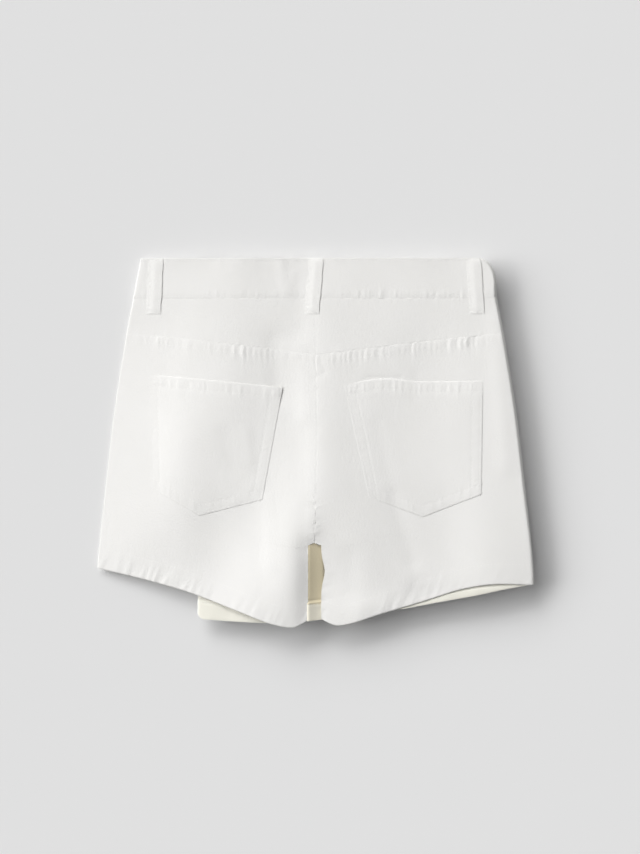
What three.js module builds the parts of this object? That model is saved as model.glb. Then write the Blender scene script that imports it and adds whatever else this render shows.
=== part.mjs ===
// A short cotton-twill skort for a twelve-year-old, lying flat on its front with its back up.
// Back: a waistband with belt loops, a pointed yoke, two patch pockets and two shorts legs.
// Front: two shorts legs that close with a zip, under a wrap skirt panel that buttons at the waist.
// Units are millimetres. +X is to the right seen from above, +Y towards the waist, +Z up from the table.
// The origin is at the middle of the outline, on the table.
import * as THREE from "three";

// ---------- Driving sizes ----------
const CLOTH = 1; // one ply of twill with its seam allowances
const GAP = 0.3; // clearance at seams and between stacked plies
const HALF_GAP = GAP / 2;
const PANEL_GAP = 0.6; // clearance under the waistband, whose walls lean where the sides roll over
const PLY = CLOTH + GAP; // what one layer of cloth adds to a stack

const band = { top: 166, seam: 129.6, wall: 2.2, proud: 0.5, overlapEnd: -86, underlapEnd: 15 };
const loop = { width: 13, wall: 1, top: 165.6, foot: 115.6, arch: 0.8 };
const button = { x: -74, y: 148, radius: 7.5, wall: 2 };
const zip = { half: 12, wall: 1, foot: 45 };
const wrapEdge = { top: -86, hem: -105.5 }; // free edge of the skirt panel

// The gap between the legs: its middle, its round top end, and how far in the cloth rolls over
// on its left and on its right. The seat seam bows a little to the right above it.
const crotch = { x: -0.4, y: -91, half: 5.9, rollLeft: 3, rollRight: 6, bow: 2.2 };
const yokeSeam = { point: 1.6, centre: 79, side: 99, reach: 169, ease: 0.9 };

// The front climbs off the table as far as the waistband stands out, and over the button.
const frontRise = { from: 60, to: 125 };
const buttonLift = { height: button.wall + GAP, flat: 10, reach: 62 };
// Towards its hems the front leaves the table and comes nearer to the back.
const hemLift = { from: -40, to: -150, share: 0.42, stack: 5.6 };

// Down the garment: half its width, and how far in from the side the cloth rolls over: at the left,
// and at the right for the back, which turns down sharply, and for the front's wide roll under it.
const sections = [
  { at: "waist edge", y: 166, half: 157, rollLeft: 3, rollRight: 3, rollUnder: 7 },
  { at: "waist seam", y: 129.6, half: 164, rollLeft: 2.6, rollRight: 3, rollUnder: 7 },
  { at: "yoke seam", y: 96, half: 170.5, rollLeft: 1.8, rollRight: 3, rollUnder: 7 },
  { at: "hip", y: 24, half: 181.8, rollLeft: 1.5, rollRight: 3, rollUnder: 7 },
  { at: "seat", y: -48, half: 190, rollLeft: 1.5, rollRight: 3, rollUnder: 7 },
  { at: "short hem", y: -114, half: 196.4, rollLeft: 1.5, rollRight: 3, rollUnder: 7 },
  { at: "long hem", y: -170, half: 197.6, rollLeft: 1.5, rollRight: 3, rollUnder: 7 },
];

// How far up from the front to the back the side seams run, where the two rolled edges meet.
const sideSeam = { left: 0.5, right: 0.68 };

// Heights of the back over the table, level by level down the garment, from the left side seam (-1)
// to the right one (1).
const loftAcross = [-1, -0.8, -0.62, -0.44, -0.26, -0.1, 0.04, 0.2, 0.4, 0.6, 0.8, 1];
const loft = [
  { y: -170, heights: [2.9, 4.8, 7.9, 11.6, 13.3, 13.2, 12.7, 12.8, 12.3, 12.4, 12.9, 11.9] },
  { y: -128, heights: [2.9, 5.2, 7.4, 9.3, 12.7, 15, 12.1, 13.1, 12.6, 12.6, 13.6, 12.4] },
  { y: -86, heights: [2.8, 6.1, 8.1, 8.8, 11.4, 14.7, 13.9, 14, 12.7, 12.1, 13.4, 13.2] },
  { y: -44, heights: [2.8, 6.1, 9.2, 9.9, 10.6, 12.9, 14.5, 13.8, 12.2, 11.9, 13.1, 13.1] },
  { y: 0, heights: [2.8, 6.1, 9.5, 10.3, 10.4, 11.7, 13.6, 12.9, 11.7, 11.8, 12.6, 12.9] },
  { y: 48, heights: [3, 6, 9, 10.7, 10.6, 10.8, 12.5, 12.3, 11.7, 11.4, 12.3, 12.8] },
  { y: 96, heights: [3.7, 6.5, 9.1, 10.4, 10.3, 10.3, 11.5, 11.6, 11.6, 11.3, 12, 12.5] },
  { y: 130, heights: [5.2, 7.3, 8.9, 9.9, 10, 10.1, 11, 11.2, 11.3, 11.7, 12.1, 12.6] },
  { y: 166, heights: [6.2, 7.5, 8.4, 9.7, 9.7, 9.8, 10.3, 10.9, 11.4, 12, 12, 12.9] },
];

// Hem lines, from the side seam to the inseam or to the skirt panel's free edge.
const hems = {
  backLeft: [
    { x: -196.4, y: -113.2 },
    { x: -154, y: -123 },
    { x: -111, y: -135.4 },
    { x: -64, y: -153.5 },
    { x: -40, y: -162.6 },
    { x: -19, y: -166 },
    { x: -6.9, y: -160 },
  ],
  backRight: [
    { x: 196.8, y: -127.8 },
    { x: 160, y: -127.2 },
    { x: 130, y: -132.2 },
    { x: 100, y: -141.8 },
    { x: 62, y: -153.2 },
    { x: 22, y: -164.6 },
    { x: 4.5, y: -158.6 },
  ],
  frontLeft: [
    { x: -196.1, y: -110.2 },
    { x: -111, y: -131 },
    { x: -40, y: -156.5 },
    { x: -6.9, y: -155 },
  ],
  frontRight: [
    { x: 195, y: -122 },
    { x: 130, y: -128 },
    { x: 62, y: -148 },
    { x: 4.5, y: -155 },
  ],
  wrap: [
    { x: 196.7, y: -127.5 },
    { x: 170, y: -132.2 },
    { x: 148, y: -137 },
    { x: 112, y: -143.6 },
    { x: 76, y: -150.2 },
    { x: 0, y: -160 },
    { x: -45, y: -162.4 },
    { x: -105.5, y: -159.2 },
  ],
};

// Soft ridges (positive) and troughs (negative) of the back, each along a line from one point to another.
const folds = [
  { at: "seat ridge", x0: -13, y0: 86, x1: -10, y1: 24, width: 9, height: 0.4 },
  { at: "seat valley", x0: -38, y0: 92, x1: -34, y1: 40, width: 9, height: -0.4 },
  { at: "inseam roll", x0: -5, y0: -98, x1: -5, y1: -160, width: 12, height: -1.4 },
  { at: "right leg trough", x0: 33, y0: -104, x1: 34, y1: -132, width: 9, height: -0.3 },
  { at: "right side crest", x0: 163, y0: 108, x1: 172, y1: -20, width: 9, height: 0.35 },
  { at: "right hem dent", x0: 92, y0: -134, x1: 102, y1: -138, width: 10, height: -0.7 },
  { at: "right hem ridge", x0: 44, y0: -150, x1: 62, y1: -146, width: 10, height: 0.4 },
];

// Patch pockets: mouth corners, lower corners and the point, how far the mouth gapes,
// and how far the middle stands off the seat. Their stitched edges lie on a thin turned-in allowance.
const pocketAllowance = 0.65;
const pockets = {
  left: {
    mouthOuter: { x: -152, y: 61.5 },
    mouthInner: { x: -29, y: 49.5 },
    lowInner: { x: -47.5, y: -51.5 },
    point: { x: -104, y: -66 },
    lowOuter: { x: -148, y: -41 },
    gape: 0.8,
    slack: 0.5,
  },
  right: {
    mouthOuter: { x: 151, y: 55.5 },
    mouthInner: { x: 26, y: 52.5 },
    lowInner: { x: 48.5, y: -49 },
    point: { x: 97, y: -67 },
    lowOuter: { x: 149.5, y: -46.5 },
    gape: 1.2,
    slack: 0.5,
  },
};

// Belt loops: x of the middle at the top and at the foot.
const beltLoops = [
  { name: "belt_loop_left", top: -143.5, foot: -145.5 },
  { name: "belt_loop_centre", top: 0.8, foot: -2.6 },
  { name: "belt_loop_right", top: 142.8, foot: 145.6 },
];

// How many strips of faces each stretch of cloth has.
const strips = {
  roll: 4,
  back: { across: 13, seat: 8, crotch: 3, inseam: 4 },
  front: { across: 7, seat: 6, crotch: 2, inseam: 3 },
  yoke: { across: 15, down: 4 },
  wrap: { across: 12, down: 12 },
  pocket: { across: 12, down: 10 },
  band: { overlap: 10, back: 24, underlap: 8, down: 2 },
  zip: { across: 2, down: 6 },
};

// ---------- Small mathematics ----------
const clamp01 = (t) => Math.min(1, Math.max(0, t));
const mix = (a, b, t) => a + (b - a) * t;
const smooth = (t) => clamp01(t) ** 2 * (3 - 2 * clamp01(t));
const shares = (steps) => Array.from({ length: steps + 1 }, (_, i) => i / steps);
const STEP = 0.01; // for slopes, in millimetres

// The value of a table's column where another column, the key, has the value at: a smooth curve
// through the rows, whose keys rise or fall all the way.
function along(rows, key, at, column) {
  const last = rows.length - 1;
  const way = Math.sign(rows[last][key] - rows[0][key]);
  let i = 0;
  while (i < last - 1 && (at - rows[i + 1][key]) * way > 0) i += 1;
  const slopeAt = (k) => {
    const before = rows[Math.max(0, k - 1)];
    const after = rows[Math.min(last, k + 1)];
    return (after[column] - before[column]) / (after[key] - before[key]);
  };
  const [a, b] = [rows[i], rows[i + 1]];
  const span = b[key] - a[key];
  const t = clamp01((at - a[key]) / span);
  const [t2, t3] = [t * t, t * t * t];
  const ends = (2 * t3 - 3 * t2 + 1) * a[column] + (3 * t2 - 2 * t3) * b[column];
  const slopes = (t3 - 2 * t2 + t) * slopeAt(i) + (t3 - t2) * slopeAt(i + 1);
  return ends + slopes * span;
}
const section = (column, y) => along(sections, "y", y, column);

// Places from a to b: the same few steps round each rolled end, and equal steps between them.
function spread(a, b, rollA, rollB, steps) {
  const way = Math.sign(b - a);
  const turn = shares(strips.roll).slice(0, -1);
  const arc = (roll) => (roll > 0 ? turn.map((t) => roll * (1 - Math.cos((t * Math.PI) / 2))) : []);
  return [
    ...arc(rollA).map((d) => a + way * d),
    ...shares(steps).map((t) => mix(a + way * rollA, b - way * rollB, t)),
    ...arc(rollB)
      .map((d) => b - way * d)
      .reverse(),
  ];
}

// ---------- The form of the garment ----------
function foldHeight(x, y) {
  let height = 0;
  for (const f of folds) {
    const [dx, dy] = [f.x1 - f.x0, f.y1 - f.y0];
    const t = clamp01(((x - f.x0) * dx + (y - f.y0) * dy) / (dx * dx + dy * dy));
    const off = Math.hypot(x - f.x0 - t * dx, y - f.y0 - t * dy);
    height += f.height * Math.exp(-((off / f.width) ** 2));
  }
  return height;
}

const seatSeamX = (y) =>
  crotch.x + crotch.bow * Math.sin(Math.PI * clamp01((y - crotch.y) / (band.seam - crotch.y)));
const wrapEdgeX = (y) => mix(wrapEdge.top, wrapEdge.hem, smooth((band.seam - y) / 290));
const underBand = () => band.seam - PANEL_GAP;

// The yoke seam climbs from a point on the seat seam to either side.
function yokeSeamY(x) {
  const outward = clamp01(Math.abs(x - yokeSeam.point) / yokeSeam.reach);
  return mix(yokeSeam.centre, yokeSeam.side, outward ** yokeSeam.ease);
}

// The height of the back before its folds: the loft table, read across each level and then between levels.
const loftRows = loft.map(({ y, heights }) => {
  return { y, across: heights.map((height, i) => ({ share: loftAcross[i], height })) };
});

function lofted(x, y) {
  const share = x / section("half", y);
  const levels = loftRows.map((row) => {
    return { y: row.y, height: along(row.across, "share", share, "height") };
  });
  return along(levels, "y", y, "height");
}

// Height over the table of the outer face of the front, and where the front lies on the skirt panel.
function frontFloor(x, y) {
  const away = Math.hypot(x - button.x, y - button.y);
  const overButton = smooth((buttonLift.reach - away) / (buttonLift.reach - buttonLift.flat));
  const climb = smooth((y - frontRise.from) / (frontRise.to - frontRise.from));
  const towardsHem = smooth((y - hemLift.from) / (hemLift.to - hemLift.from));
  const lift = hemLift.share * towardsHem * Math.max(0, lofted(x, y) - hemLift.stack);
  return band.proud * climb + buttonLift.height * overButton + lift;
}
const overWrap = (x, y) => smooth((x - wrapEdgeX(y) + 26) / 18);

// A layer of the garment: which way its outer face looks, its height away from the rolled edges,
// how far it sits inside the side outline, which roll it has at the right, and whether it parts
// at the gap between the legs.
const layers = {
  back: {
    up: 1,
    height: (x, y) => lofted(x, y) + foldHeight(x, y),
    inset: 0,
    roll: "rollRight",
    legs: true,
  },
  frontLeft: {
    up: -1,
    height: (x, y) => frontFloor(x, y) + PLY * overWrap(x, y),
    inset: 0,
    roll: "rollUnder",
    legs: true,
  },
  frontRight: {
    up: -1,
    height: (x, y) => frontFloor(x, y) + PLY,
    inset: PLY,
    roll: "rollUnder",
    legs: true,
  },
  wrap: { up: -1, height: frontFloor, inset: 0, roll: "rollUnder", legs: false },
};

const sideX = (sign, y, inset = 0) => sign * (section("half", y) - inset);
const sideRoll = (layer, x, y) => (x < 0 ? section("rollLeft", y) : section(layer.roll, y) - layer.inset);
const gapRoll = (rightward) => mix(crotch.rollRight, crotch.rollLeft, clamp01(-rightward));

// The nearest rolled edge: how far in from it a point is, as a share of the roll, and which way is in.
function rollAt(x, y, layer) {
  const roll = sideRoll(layer, x, y);
  const slope = (section("half", y + STEP) - section("half", y - STEP)) / (2 * STEP);
  const steep = Math.hypot(1, slope);
  const inward = (sideX(1, y, layer.inset) - Math.abs(x)) / steep;
  const side = { share: inward / roll, roll, inX: -Math.sign(x) / steep, inY: slope / steep };
  if (!layer.legs) return side;
  const dx = x - crotch.x;
  const dy = Math.max(0, y - crotch.y + crotch.half);
  const reach = Math.max(1e-6, Math.hypot(dx, dy));
  const gapReach = gapRoll(dx / reach);
  const gap = { share: (reach - crotch.half) / gapReach, roll: gapReach, inX: dx / reach, inY: dy / reach };
  return gap.share < side.share ? gap : side;
}

// How high the rolled edges of the front and the back meet.
function seamHeight(x, y) {
  const share = mix(sideSeam.left, sideSeam.right, smooth((x + 60) / 120));
  return mix(frontFloor(x, y), lofted(x, y), share);
}

// A height's slopes along X and along Y.
const slopesOf = (heightAt, x, y) => [
  (heightAt(x + STEP, y) - heightAt(x - STEP, y)) / (2 * STEP),
  (heightAt(x, y + STEP) - heightAt(x, y - STEP)) / (2 * STEP),
];

// A point of a layer's outer face over (x, y), moved out along the face's normal.
function onLayer(layer, x, y, out = 0) {
  const edge = rollAt(x, y, layer);
  const cosine = 1 - clamp01(edge.share);
  const sine = Math.sqrt(Math.max(0, 1 - cosine * cosine));
  const height = layer.height(x, y);
  const seam = seamHeight(x, y) + layer.up * HALF_GAP;
  const [slopeX, slopeY] = slopesOf(layer.height, x, y);
  const [seamSlopeX, seamSlopeY] = slopesOf(seamHeight, x, y);
  const fall = ((height - seam) / edge.roll) * cosine;
  const normal = new THREE.Vector3(
    -layer.up * (sine * mix(seamSlopeX, slopeX, sine) + fall * edge.inX),
    -layer.up * (sine * mix(seamSlopeY, slopeY, sine) + fall * edge.inY),
    layer.up * sine,
  ).normalize();
  return new THREE.Vector3(x, y, mix(seam, height, sine)).addScaledVector(normal, out);
}

// ---------- Walls ----------
// A geometry from positions and an index, turned round if its faces point inwards.
function facingOut(positions, index) {
  const p = (i) => new THREE.Vector3().fromArray(positions, 3 * i);
  let volume = 0;
  for (let i = 0; i < index.length; i += 3) {
    volume += p(index[i]).dot(p(index[i + 1]).cross(p(index[i + 2])));
  }
  if (volume < 0) index.reverse();
  const geometry = new THREE.BufferGeometry();
  geometry.setAttribute("position", new THREE.Float32BufferAttribute(positions, 3));
  geometry.setIndex(index);
  geometry.computeVertexNormals();
  return geometry;
}

// A closed wall between two grids of points that face each other: [row][column] each.
function wallBetween(outer, inner) {
  const rows = outer.length;
  const columns = outer[0].length;
  const positions = [...outer.flat(), ...inner.flat()].flatMap((p) => p.toArray());
  const at = (side, r, c) => side * rows * columns + r * columns + c;
  const index = [];
  const quad = (a, b, c, d) => index.push(a, b, c, a, c, d);
  const [lastRow, lastColumn] = [rows - 1, columns - 1];
  for (let r = 0; r < lastRow; r += 1) {
    for (let c = 0; c < lastColumn; c += 1) {
      quad(at(0, r, c), at(0, r, c + 1), at(0, r + 1, c + 1), at(0, r + 1, c));
      quad(at(1, r, c), at(1, r + 1, c), at(1, r + 1, c + 1), at(1, r, c + 1));
    }
    quad(at(0, r, 0), at(0, r + 1, 0), at(1, r + 1, 0), at(1, r, 0));
    quad(at(0, r + 1, lastColumn), at(0, r, lastColumn), at(1, r, lastColumn), at(1, r + 1, lastColumn));
  }
  for (let c = 0; c < lastColumn; c += 1) {
    quad(at(0, 0, c + 1), at(0, 0, c), at(1, 0, c), at(1, 0, c + 1));
    quad(at(0, lastRow, c), at(0, lastRow, c + 1), at(1, lastRow, c + 1), at(1, lastRow, c));
  }
  return facingOut(positions, index);
}

// The points inside four edges, each a list of places: top and bottom run from the outer edge
// to the inner one, and outer and inner run down.
function patch({ top, bottom, outer, inner }) {
  const lastRow = outer.length - 1;
  const lastColumn = top.length - 1;
  const run = (edge, c) => (edge[c].x - edge[0].x) / (edge[lastColumn].x - edge[0].x);
  const blend = (axis, r, c, u, v) => {
    const across = mix(outer[r][axis], inner[r][axis], u);
    const down = mix(top[c][axis], bottom[c][axis], v);
    const topChord = mix(top[0][axis], top[lastColumn][axis], u);
    const bottomChord = mix(bottom[0][axis], bottom[lastColumn][axis], u);
    return across + down - mix(topChord, bottomChord, v);
  };
  return outer.map((_, r) =>
    top.map((__, c) => {
      const u = (run(top, c) + run(bottom, c)) / 2;
      const v = r / lastRow;
      return { x: blend("x", r, c, u, v), y: blend("y", r, c, u, v) };
    }),
  );
}

// A wall of cloth over a patch: its outer face moved out by out, its inner face one wall below.
function clothWall(layer, grid, out = 0, wall = CLOTH) {
  const face = (moved) => grid.map((row) => row.map(({ x, y }) => onLayer(layer, x, y, moved)));
  return wallBetween(face(out), face(out - wall));
}

// ---------- Leg panels ----------
// The edge of a leg panel at the middle: down the seam to the crotch, round it and down the inseam.
function middleEdge(sign, topY, hemY, steps) {
  const seam = spread(topY, crotch.y, 0, crotch.rollLeft, steps.seat);
  const turn = shares(steps.crotch).slice(1);
  const inseam = shares(steps.inseam).slice(1);
  const footY = crotch.y - crotch.half;
  return [
    ...seam.map((y) => ({ x: seatSeamX(y) + sign * HALF_GAP, y })),
    ...turn.map((t) => ({
      x: crotch.x + sign * crotch.half * Math.sin((t * Math.PI) / 2),
      y: crotch.y - crotch.half * (1 - Math.cos((t * Math.PI) / 2)),
    })),
    ...inseam.map((t) => ({ x: crotch.x + sign * crotch.half, y: mix(footY, hemY, t) })),
  ];
}

// A leg panel between the side seam and the middle, from a top seam to a hem.
function legPanel(sign, layer, hem, topY, steps) {
  const { inset } = layer;
  const sideTop = topY(sideX(sign, topY(sign * yokeSeam.reach)));
  const hemSide = hem[0].y;
  const hemInner = hem[hem.length - 1].y;
  const inner = middleEdge(sign, topY(yokeSeam.point), hemInner, steps);
  const outer = shares(inner.length - 1).map((v) => {
    const y = mix(sideTop, hemSide, v);
    return { x: sideX(sign, y, inset), y };
  });
  const gap = gapRoll(sign);
  const topXs = spread(outer[0].x, inner[0].x, sideRoll(layer, sign, sideTop), gap, steps.across);
  const hemXs = spread(
    sideX(sign, hemSide, inset),
    crotch.x + sign * crotch.half,
    sideRoll(layer, sign, hemSide),
    gap,
    steps.across,
  );
  return patch({
    top: topXs.map((x) => ({ x, y: topY(x) })),
    bottom: hemXs.map((x) => ({ x, y: along(hem, "x", x, "y") })),
    outer,
    inner,
  });
}

const underYoke = (x) => yokeSeamY(x) - HALF_GAP;
const backPanel = (sign, hem) =>
  clothWall(layers.back, legPanel(sign, layers.back, hem, underYoke, strips.back));
const frontPanel = (sign, layer, hem) =>
  clothWall(layer, legPanel(sign, layer, hem, underBand, strips.front));

// ---------- Yoke and skirt panel ----------
function yokePanel(sign) {
  const foot = { side: yokeSeam.side + HALF_GAP, middle: yokeSeam.centre + HALF_GAP };
  const middleX = (y) => seatSeamX(y) + sign * HALF_GAP;
  const topXs = spread(
    sideX(sign, underBand()),
    middleX(underBand()),
    sideRoll(layers.back, sign, underBand()),
    0,
    strips.yoke.across,
  );
  const footXs = spread(
    sideX(sign, foot.side),
    middleX(foot.middle),
    sideRoll(layers.back, sign, foot.side),
    0,
    strips.yoke.across,
  );
  const grid = patch({
    top: topXs.map((x) => ({ x, y: underBand() })),
    bottom: footXs.map((x) => ({ x, y: yokeSeamY(x) + HALF_GAP })),
    outer: shares(strips.yoke.down).map((v) => {
      const y = mix(underBand(), foot.side, v);
      return { x: sideX(sign, y), y };
    }),
    inner: shares(strips.yoke.down).map((v) => {
      const y = mix(underBand(), foot.middle, v);
      return { x: middleX(y), y };
    }),
  });
  return clothWall(layers.back, grid);
}

// The wrap skirt panel: sewn into the right side seam and the waistband, with a free edge at the left.
function skirtPanel() {
  const hemSide = hems.wrap[0].y;
  const hemFree = hems.wrap[hems.wrap.length - 1].y;
  const roll = sideRoll(layers.wrap, 1, underBand());
  const topXs = spread(sideX(1, underBand()), wrapEdge.top, roll, 0, strips.wrap.across);
  const hemXs = spread(sideX(1, hemSide), wrapEdgeX(hemFree), roll, 0, strips.wrap.across);
  const grid = patch({
    top: topXs.map((x) => ({ x, y: underBand() })),
    bottom: hemXs.map((x) => ({ x, y: along(hems.wrap, "x", x, "y") })),
    outer: shares(strips.wrap.down).map((v) => {
      const y = mix(underBand(), hemSide, v);
      return { x: sideX(1, y), y };
    }),
    inner: shares(strips.wrap.down).map((v) => {
      const y = mix(underBand(), hemFree, v);
      return { x: wrapEdgeX(y), y };
    }),
  });
  return clothWall(layers.wrap, grid);
}

// ---------- Waistband and belt loops ----------
// One line round the waistband: from its overlap end under the front, round both sides and over
// the back to its underlap end, which lies inside the overlap.
function bandRow(y, out) {
  const half = section("half", y);
  const [left, right, below] = ["rollLeft", "rollRight", "rollUnder"].map((name) => section(name, y));
  const { overlap, back, underlap } = strips.band;
  const inside = (x) => (band.wall + GAP) * smooth((x - band.overlapEnd + 30) / 22);
  const under = (x, level) => {
    const lifted = { ...layers.wrap, height: (px, py) => frontFloor(px, py) + level };
    return onLayer(lifted, x, y, out);
  };
  return [
    ...spread(band.overlapEnd, half, 0, below, overlap).map((x) => under(x, 0)),
    ...spread(half, -half, right, left, back).map((x) => onLayer(layers.back, x, y, out)),
    ...spread(-half, band.underlapEnd, left, 0, underlap).map((x) => under(x, inside(x))),
  ];
}

function waistband() {
  const rows = shares(strips.band.down).map((v) => mix(band.top, band.seam, v));
  const face = (out) => rows.map((y) => bandRow(y, out));
  return wallBetween(face(band.proud), face(band.proud - band.wall));
}

// A belt loop: its foot and top lie on the cloth, and its middle stands off it by the arch.
function beltLoop({ top, foot }) {
  const stations = [0, 0.1, 0.25, 0.4, 0.5, 0.6, 0.75, 0.9, 1];
  const face = (moved) =>
    stations.map((v) => {
      const y = mix(loop.top, loop.foot, v);
      const onBand = band.proud * smooth((y - loop.foot) / (band.seam - loop.foot));
      const out = onBand + GAP + loop.arch * Math.sin(Math.PI * v) ** 2 + moved;
      return [-0.5, 0, 0.5].map((across) =>
        onLayer(layers.back, mix(top, foot, v) + across * loop.width, y, out),
      );
    });
  return wallBetween(face(loop.wall), face(0));
}

// ---------- Pockets, zip and button ----------
function patchPocket(p) {
  const { across, down } = strips.pocket;
  const line = (a, b, t) => ({ x: mix(a.x, b.x, t), y: mix(a.y, b.y, t) });
  const lowEdge = (u) => {
    return u < 0.5 ? line(p.lowOuter, p.point, 2 * u) : line(p.point, p.lowInner, 2 * u - 1);
  };
  const grid = patch({
    top: shares(across).map((u) => line(p.mouthOuter, p.mouthInner, u)),
    bottom: shares(across).map(lowEdge),
    outer: shares(down).map((v) => line(p.mouthOuter, p.lowOuter, v)),
    inner: shares(down).map((v) => line(p.mouthInner, p.lowInner, v)),
  });
  const face = (moved) =>
    grid.map((row, r) =>
      row.map(({ x, y }, c) => {
        const middle = Math.sin((Math.PI * c) / across);
        const gape = p.gape * middle * (1 - r / down) ** 3;
        const slack = p.slack * middle * Math.sin((Math.PI * r) / down);
        return onLayer(layers.back, x, y, pocketAllowance + gape + slack + moved);
      }),
    );
  return wallBetween(face(CLOTH), face(0));
}

// The zip's tape lies inside the front, over the seam where the two front panels meet.
function zipTape() {
  const grid = shares(strips.zip.down).map((v) =>
    shares(strips.zip.across).map((u) => ({
      x: crotch.x + mix(-zip.half, zip.half, u),
      y: mix(underBand(), zip.foot, v),
    })),
  );
  return clothWall(layers.frontRight, grid, -PLY, zip.wall);
}

// A low domed disc whose face looks down at the table.
function waistButton() {
  const { radius, wall } = button;
  const profile = [
    { r: 0, z: 0 },
    { r: radius - 1.2, z: 0 },
    { r: radius - 0.3, z: 0.3 },
    { r: radius, z: 1 },
    { r: radius - 0.5, z: wall },
    { r: 0, z: wall },
  ].map(({ r, z }) => new THREE.Vector2(r, z));
  return new THREE.LatheGeometry(profile, 24).rotateX(Math.PI / 2);
}

// ---------- Materials ----------
const finish = (color, roughness, metalness = 0) =>
  new THREE.MeshStandardMaterial({ color, roughness, metalness });
const twill = finish("#f1f0ec", 0.92);
const wrapTwill = finish("#ece8d8", 0.94);
const tape = finish("#eeece4", 0.85);
const metal = finish("#b9bab8", 0.35, 1);

// ---------- Assembly ----------
const skort = new THREE.Group();
skort.name = "skort";

function add(name, geometry, material) {
  const mesh = new THREE.Mesh(geometry, material);
  mesh.name = name;
  skort.add(mesh);
  return mesh;
}

add("waistband", waistband(), twill);
add("yoke_left", yokePanel(-1), twill);
add("yoke_right", yokePanel(1), twill);
add("back_left", backPanel(-1, hems.backLeft), twill);
add("back_right", backPanel(1, hems.backRight), twill);
add("front_left", frontPanel(-1, layers.frontLeft, hems.frontLeft), twill);
add("front_right", frontPanel(1, layers.frontRight, hems.frontRight), twill);
add("skirt_panel", skirtPanel(), wrapTwill);
add("pocket_left", patchPocket(pockets.left), twill);
add("pocket_right", patchPocket(pockets.right), twill);
for (const place of beltLoops) add(place.name, beltLoop(place), twill);
add("fly_zip", zipTape(), tape);

const waistButtonMesh = add("waist_button", waistButton(), metal);
waistButtonMesh.position.set(button.x, button.y, 0);

export default skort;
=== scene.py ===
# %% [markdown]
# # A white twill skort, laid on its front
# The garment is a pair of shorts with a wrap skirt panel over its front. It lies on the skirt panel with
# its back up, so the eye sees the waistband, three belt loops, a pointed yoke, two patch pockets and two
# short legs. The skirt panel is longer than the legs and shows between and below them.
#
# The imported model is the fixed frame: it says where each piece is. This lesson gives every piece its
# cloth: a fine shell on the same form, with creases, puckers, hems, felled seams and real stitches.
# Lengths in the tables are millimetres, as a pattern cutter writes them, and meshes are metres.

# %% Load the frame
import math

import bpy
import numpy as np
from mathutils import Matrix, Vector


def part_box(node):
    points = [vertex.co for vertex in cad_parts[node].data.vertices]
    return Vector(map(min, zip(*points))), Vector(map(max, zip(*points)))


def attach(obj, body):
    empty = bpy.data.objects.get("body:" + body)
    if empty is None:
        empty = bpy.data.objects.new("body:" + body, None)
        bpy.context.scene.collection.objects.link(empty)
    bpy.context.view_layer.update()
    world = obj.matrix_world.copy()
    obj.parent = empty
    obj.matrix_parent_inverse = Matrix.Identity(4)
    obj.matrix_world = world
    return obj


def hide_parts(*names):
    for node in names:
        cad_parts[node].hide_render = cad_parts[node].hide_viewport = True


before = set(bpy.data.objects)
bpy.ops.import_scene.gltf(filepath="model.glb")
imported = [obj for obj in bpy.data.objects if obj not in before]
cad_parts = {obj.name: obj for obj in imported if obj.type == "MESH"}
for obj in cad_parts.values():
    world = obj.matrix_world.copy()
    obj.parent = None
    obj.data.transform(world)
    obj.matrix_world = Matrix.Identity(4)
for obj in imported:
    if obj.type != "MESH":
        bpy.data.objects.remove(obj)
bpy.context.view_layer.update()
MM = 0.001

# %% [markdown]
# ## Camera, light and table
# A garment photographed flat is lit by one large soft box, low on one side, and by light from all round
# the pale room. A row of wide sun lamps stands for the soft box, because their light is even over the whole
# table, and the world gives the rest. The camera looks straight down from two metres with a long lens.

# %% Camera
VIEW_HEIGHT = 768.6  # of table that the frame spans, top to bottom, in millimetres
VIEW_CENTRE = (4.5, 13.9)
VIEW_PLANE = 11.0  # height of the garment's outline over the table
CAMERA_DISTANCE = 2000.0
SENSOR = 36.0


def put(name, data):
    """An object in the scene, made from its data."""
    thing = bpy.data.objects.new(name, data)
    bpy.context.scene.collection.objects.link(thing)
    return thing


camera_data = bpy.data.cameras.new("camera")
camera_data.sensor_width = SENSOR
camera_data.lens = SENSOR * CAMERA_DISTANCE / VIEW_HEIGHT
camera = put("camera", camera_data)
camera.location = (VIEW_CENTRE[0] * MM, VIEW_CENTRE[1] * MM, (VIEW_PLANE + CAMERA_DISTANCE) * MM)
bpy.context.scene.camera = camera
print("lens, mm:", round(camera_data.lens, 1))


# %% Colours and nodes
def srgb(code):
    """The linear colour of an sRGB hex value."""
    parts = [int(code[i : i + 2], 16) / 255 for i in (1, 3, 5)]
    linear = [c / 12.92 if c <= 0.04045 else ((c + 0.055) / 1.055) ** 2.4 for c in parts]
    return (*linear, 1.0)


def add(tree, kind, inputs=None, **settings):
    """Adds a node. inputs gives a socket's value, the output that is linked to it, or the node whose
    first output is."""
    node = tree.nodes.new(kind)
    for name, value in settings.items():
        setattr(node, name, value)
    for socket, value in (inputs or {}).items():
        if isinstance(value, bpy.types.Node):
            value = value.outputs[0]
        if isinstance(value, bpy.types.NodeSocket):
            tree.links.new(value, node.inputs[socket])
        else:
            node.inputs[socket].default_value = value
    return node


def new_material(name):
    """A material without nodes, and its tree."""
    material = bpy.data.materials.new(name)
    material.use_nodes = True
    material.node_tree.nodes.clear()
    return material, material.node_tree


# %% Light
# One long, low window, as a row of overlapping suns.
KEY_ELEVATION = math.radians(20)
KEY_HEADINGS = [-1, -24, -47, -70]  # degrees
KEY_SPREAD = math.radians(24)  # how wide each sun looks from the table
KEY_STRENGTH = 1.6
ROOM_STRENGTH = 0.265

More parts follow.
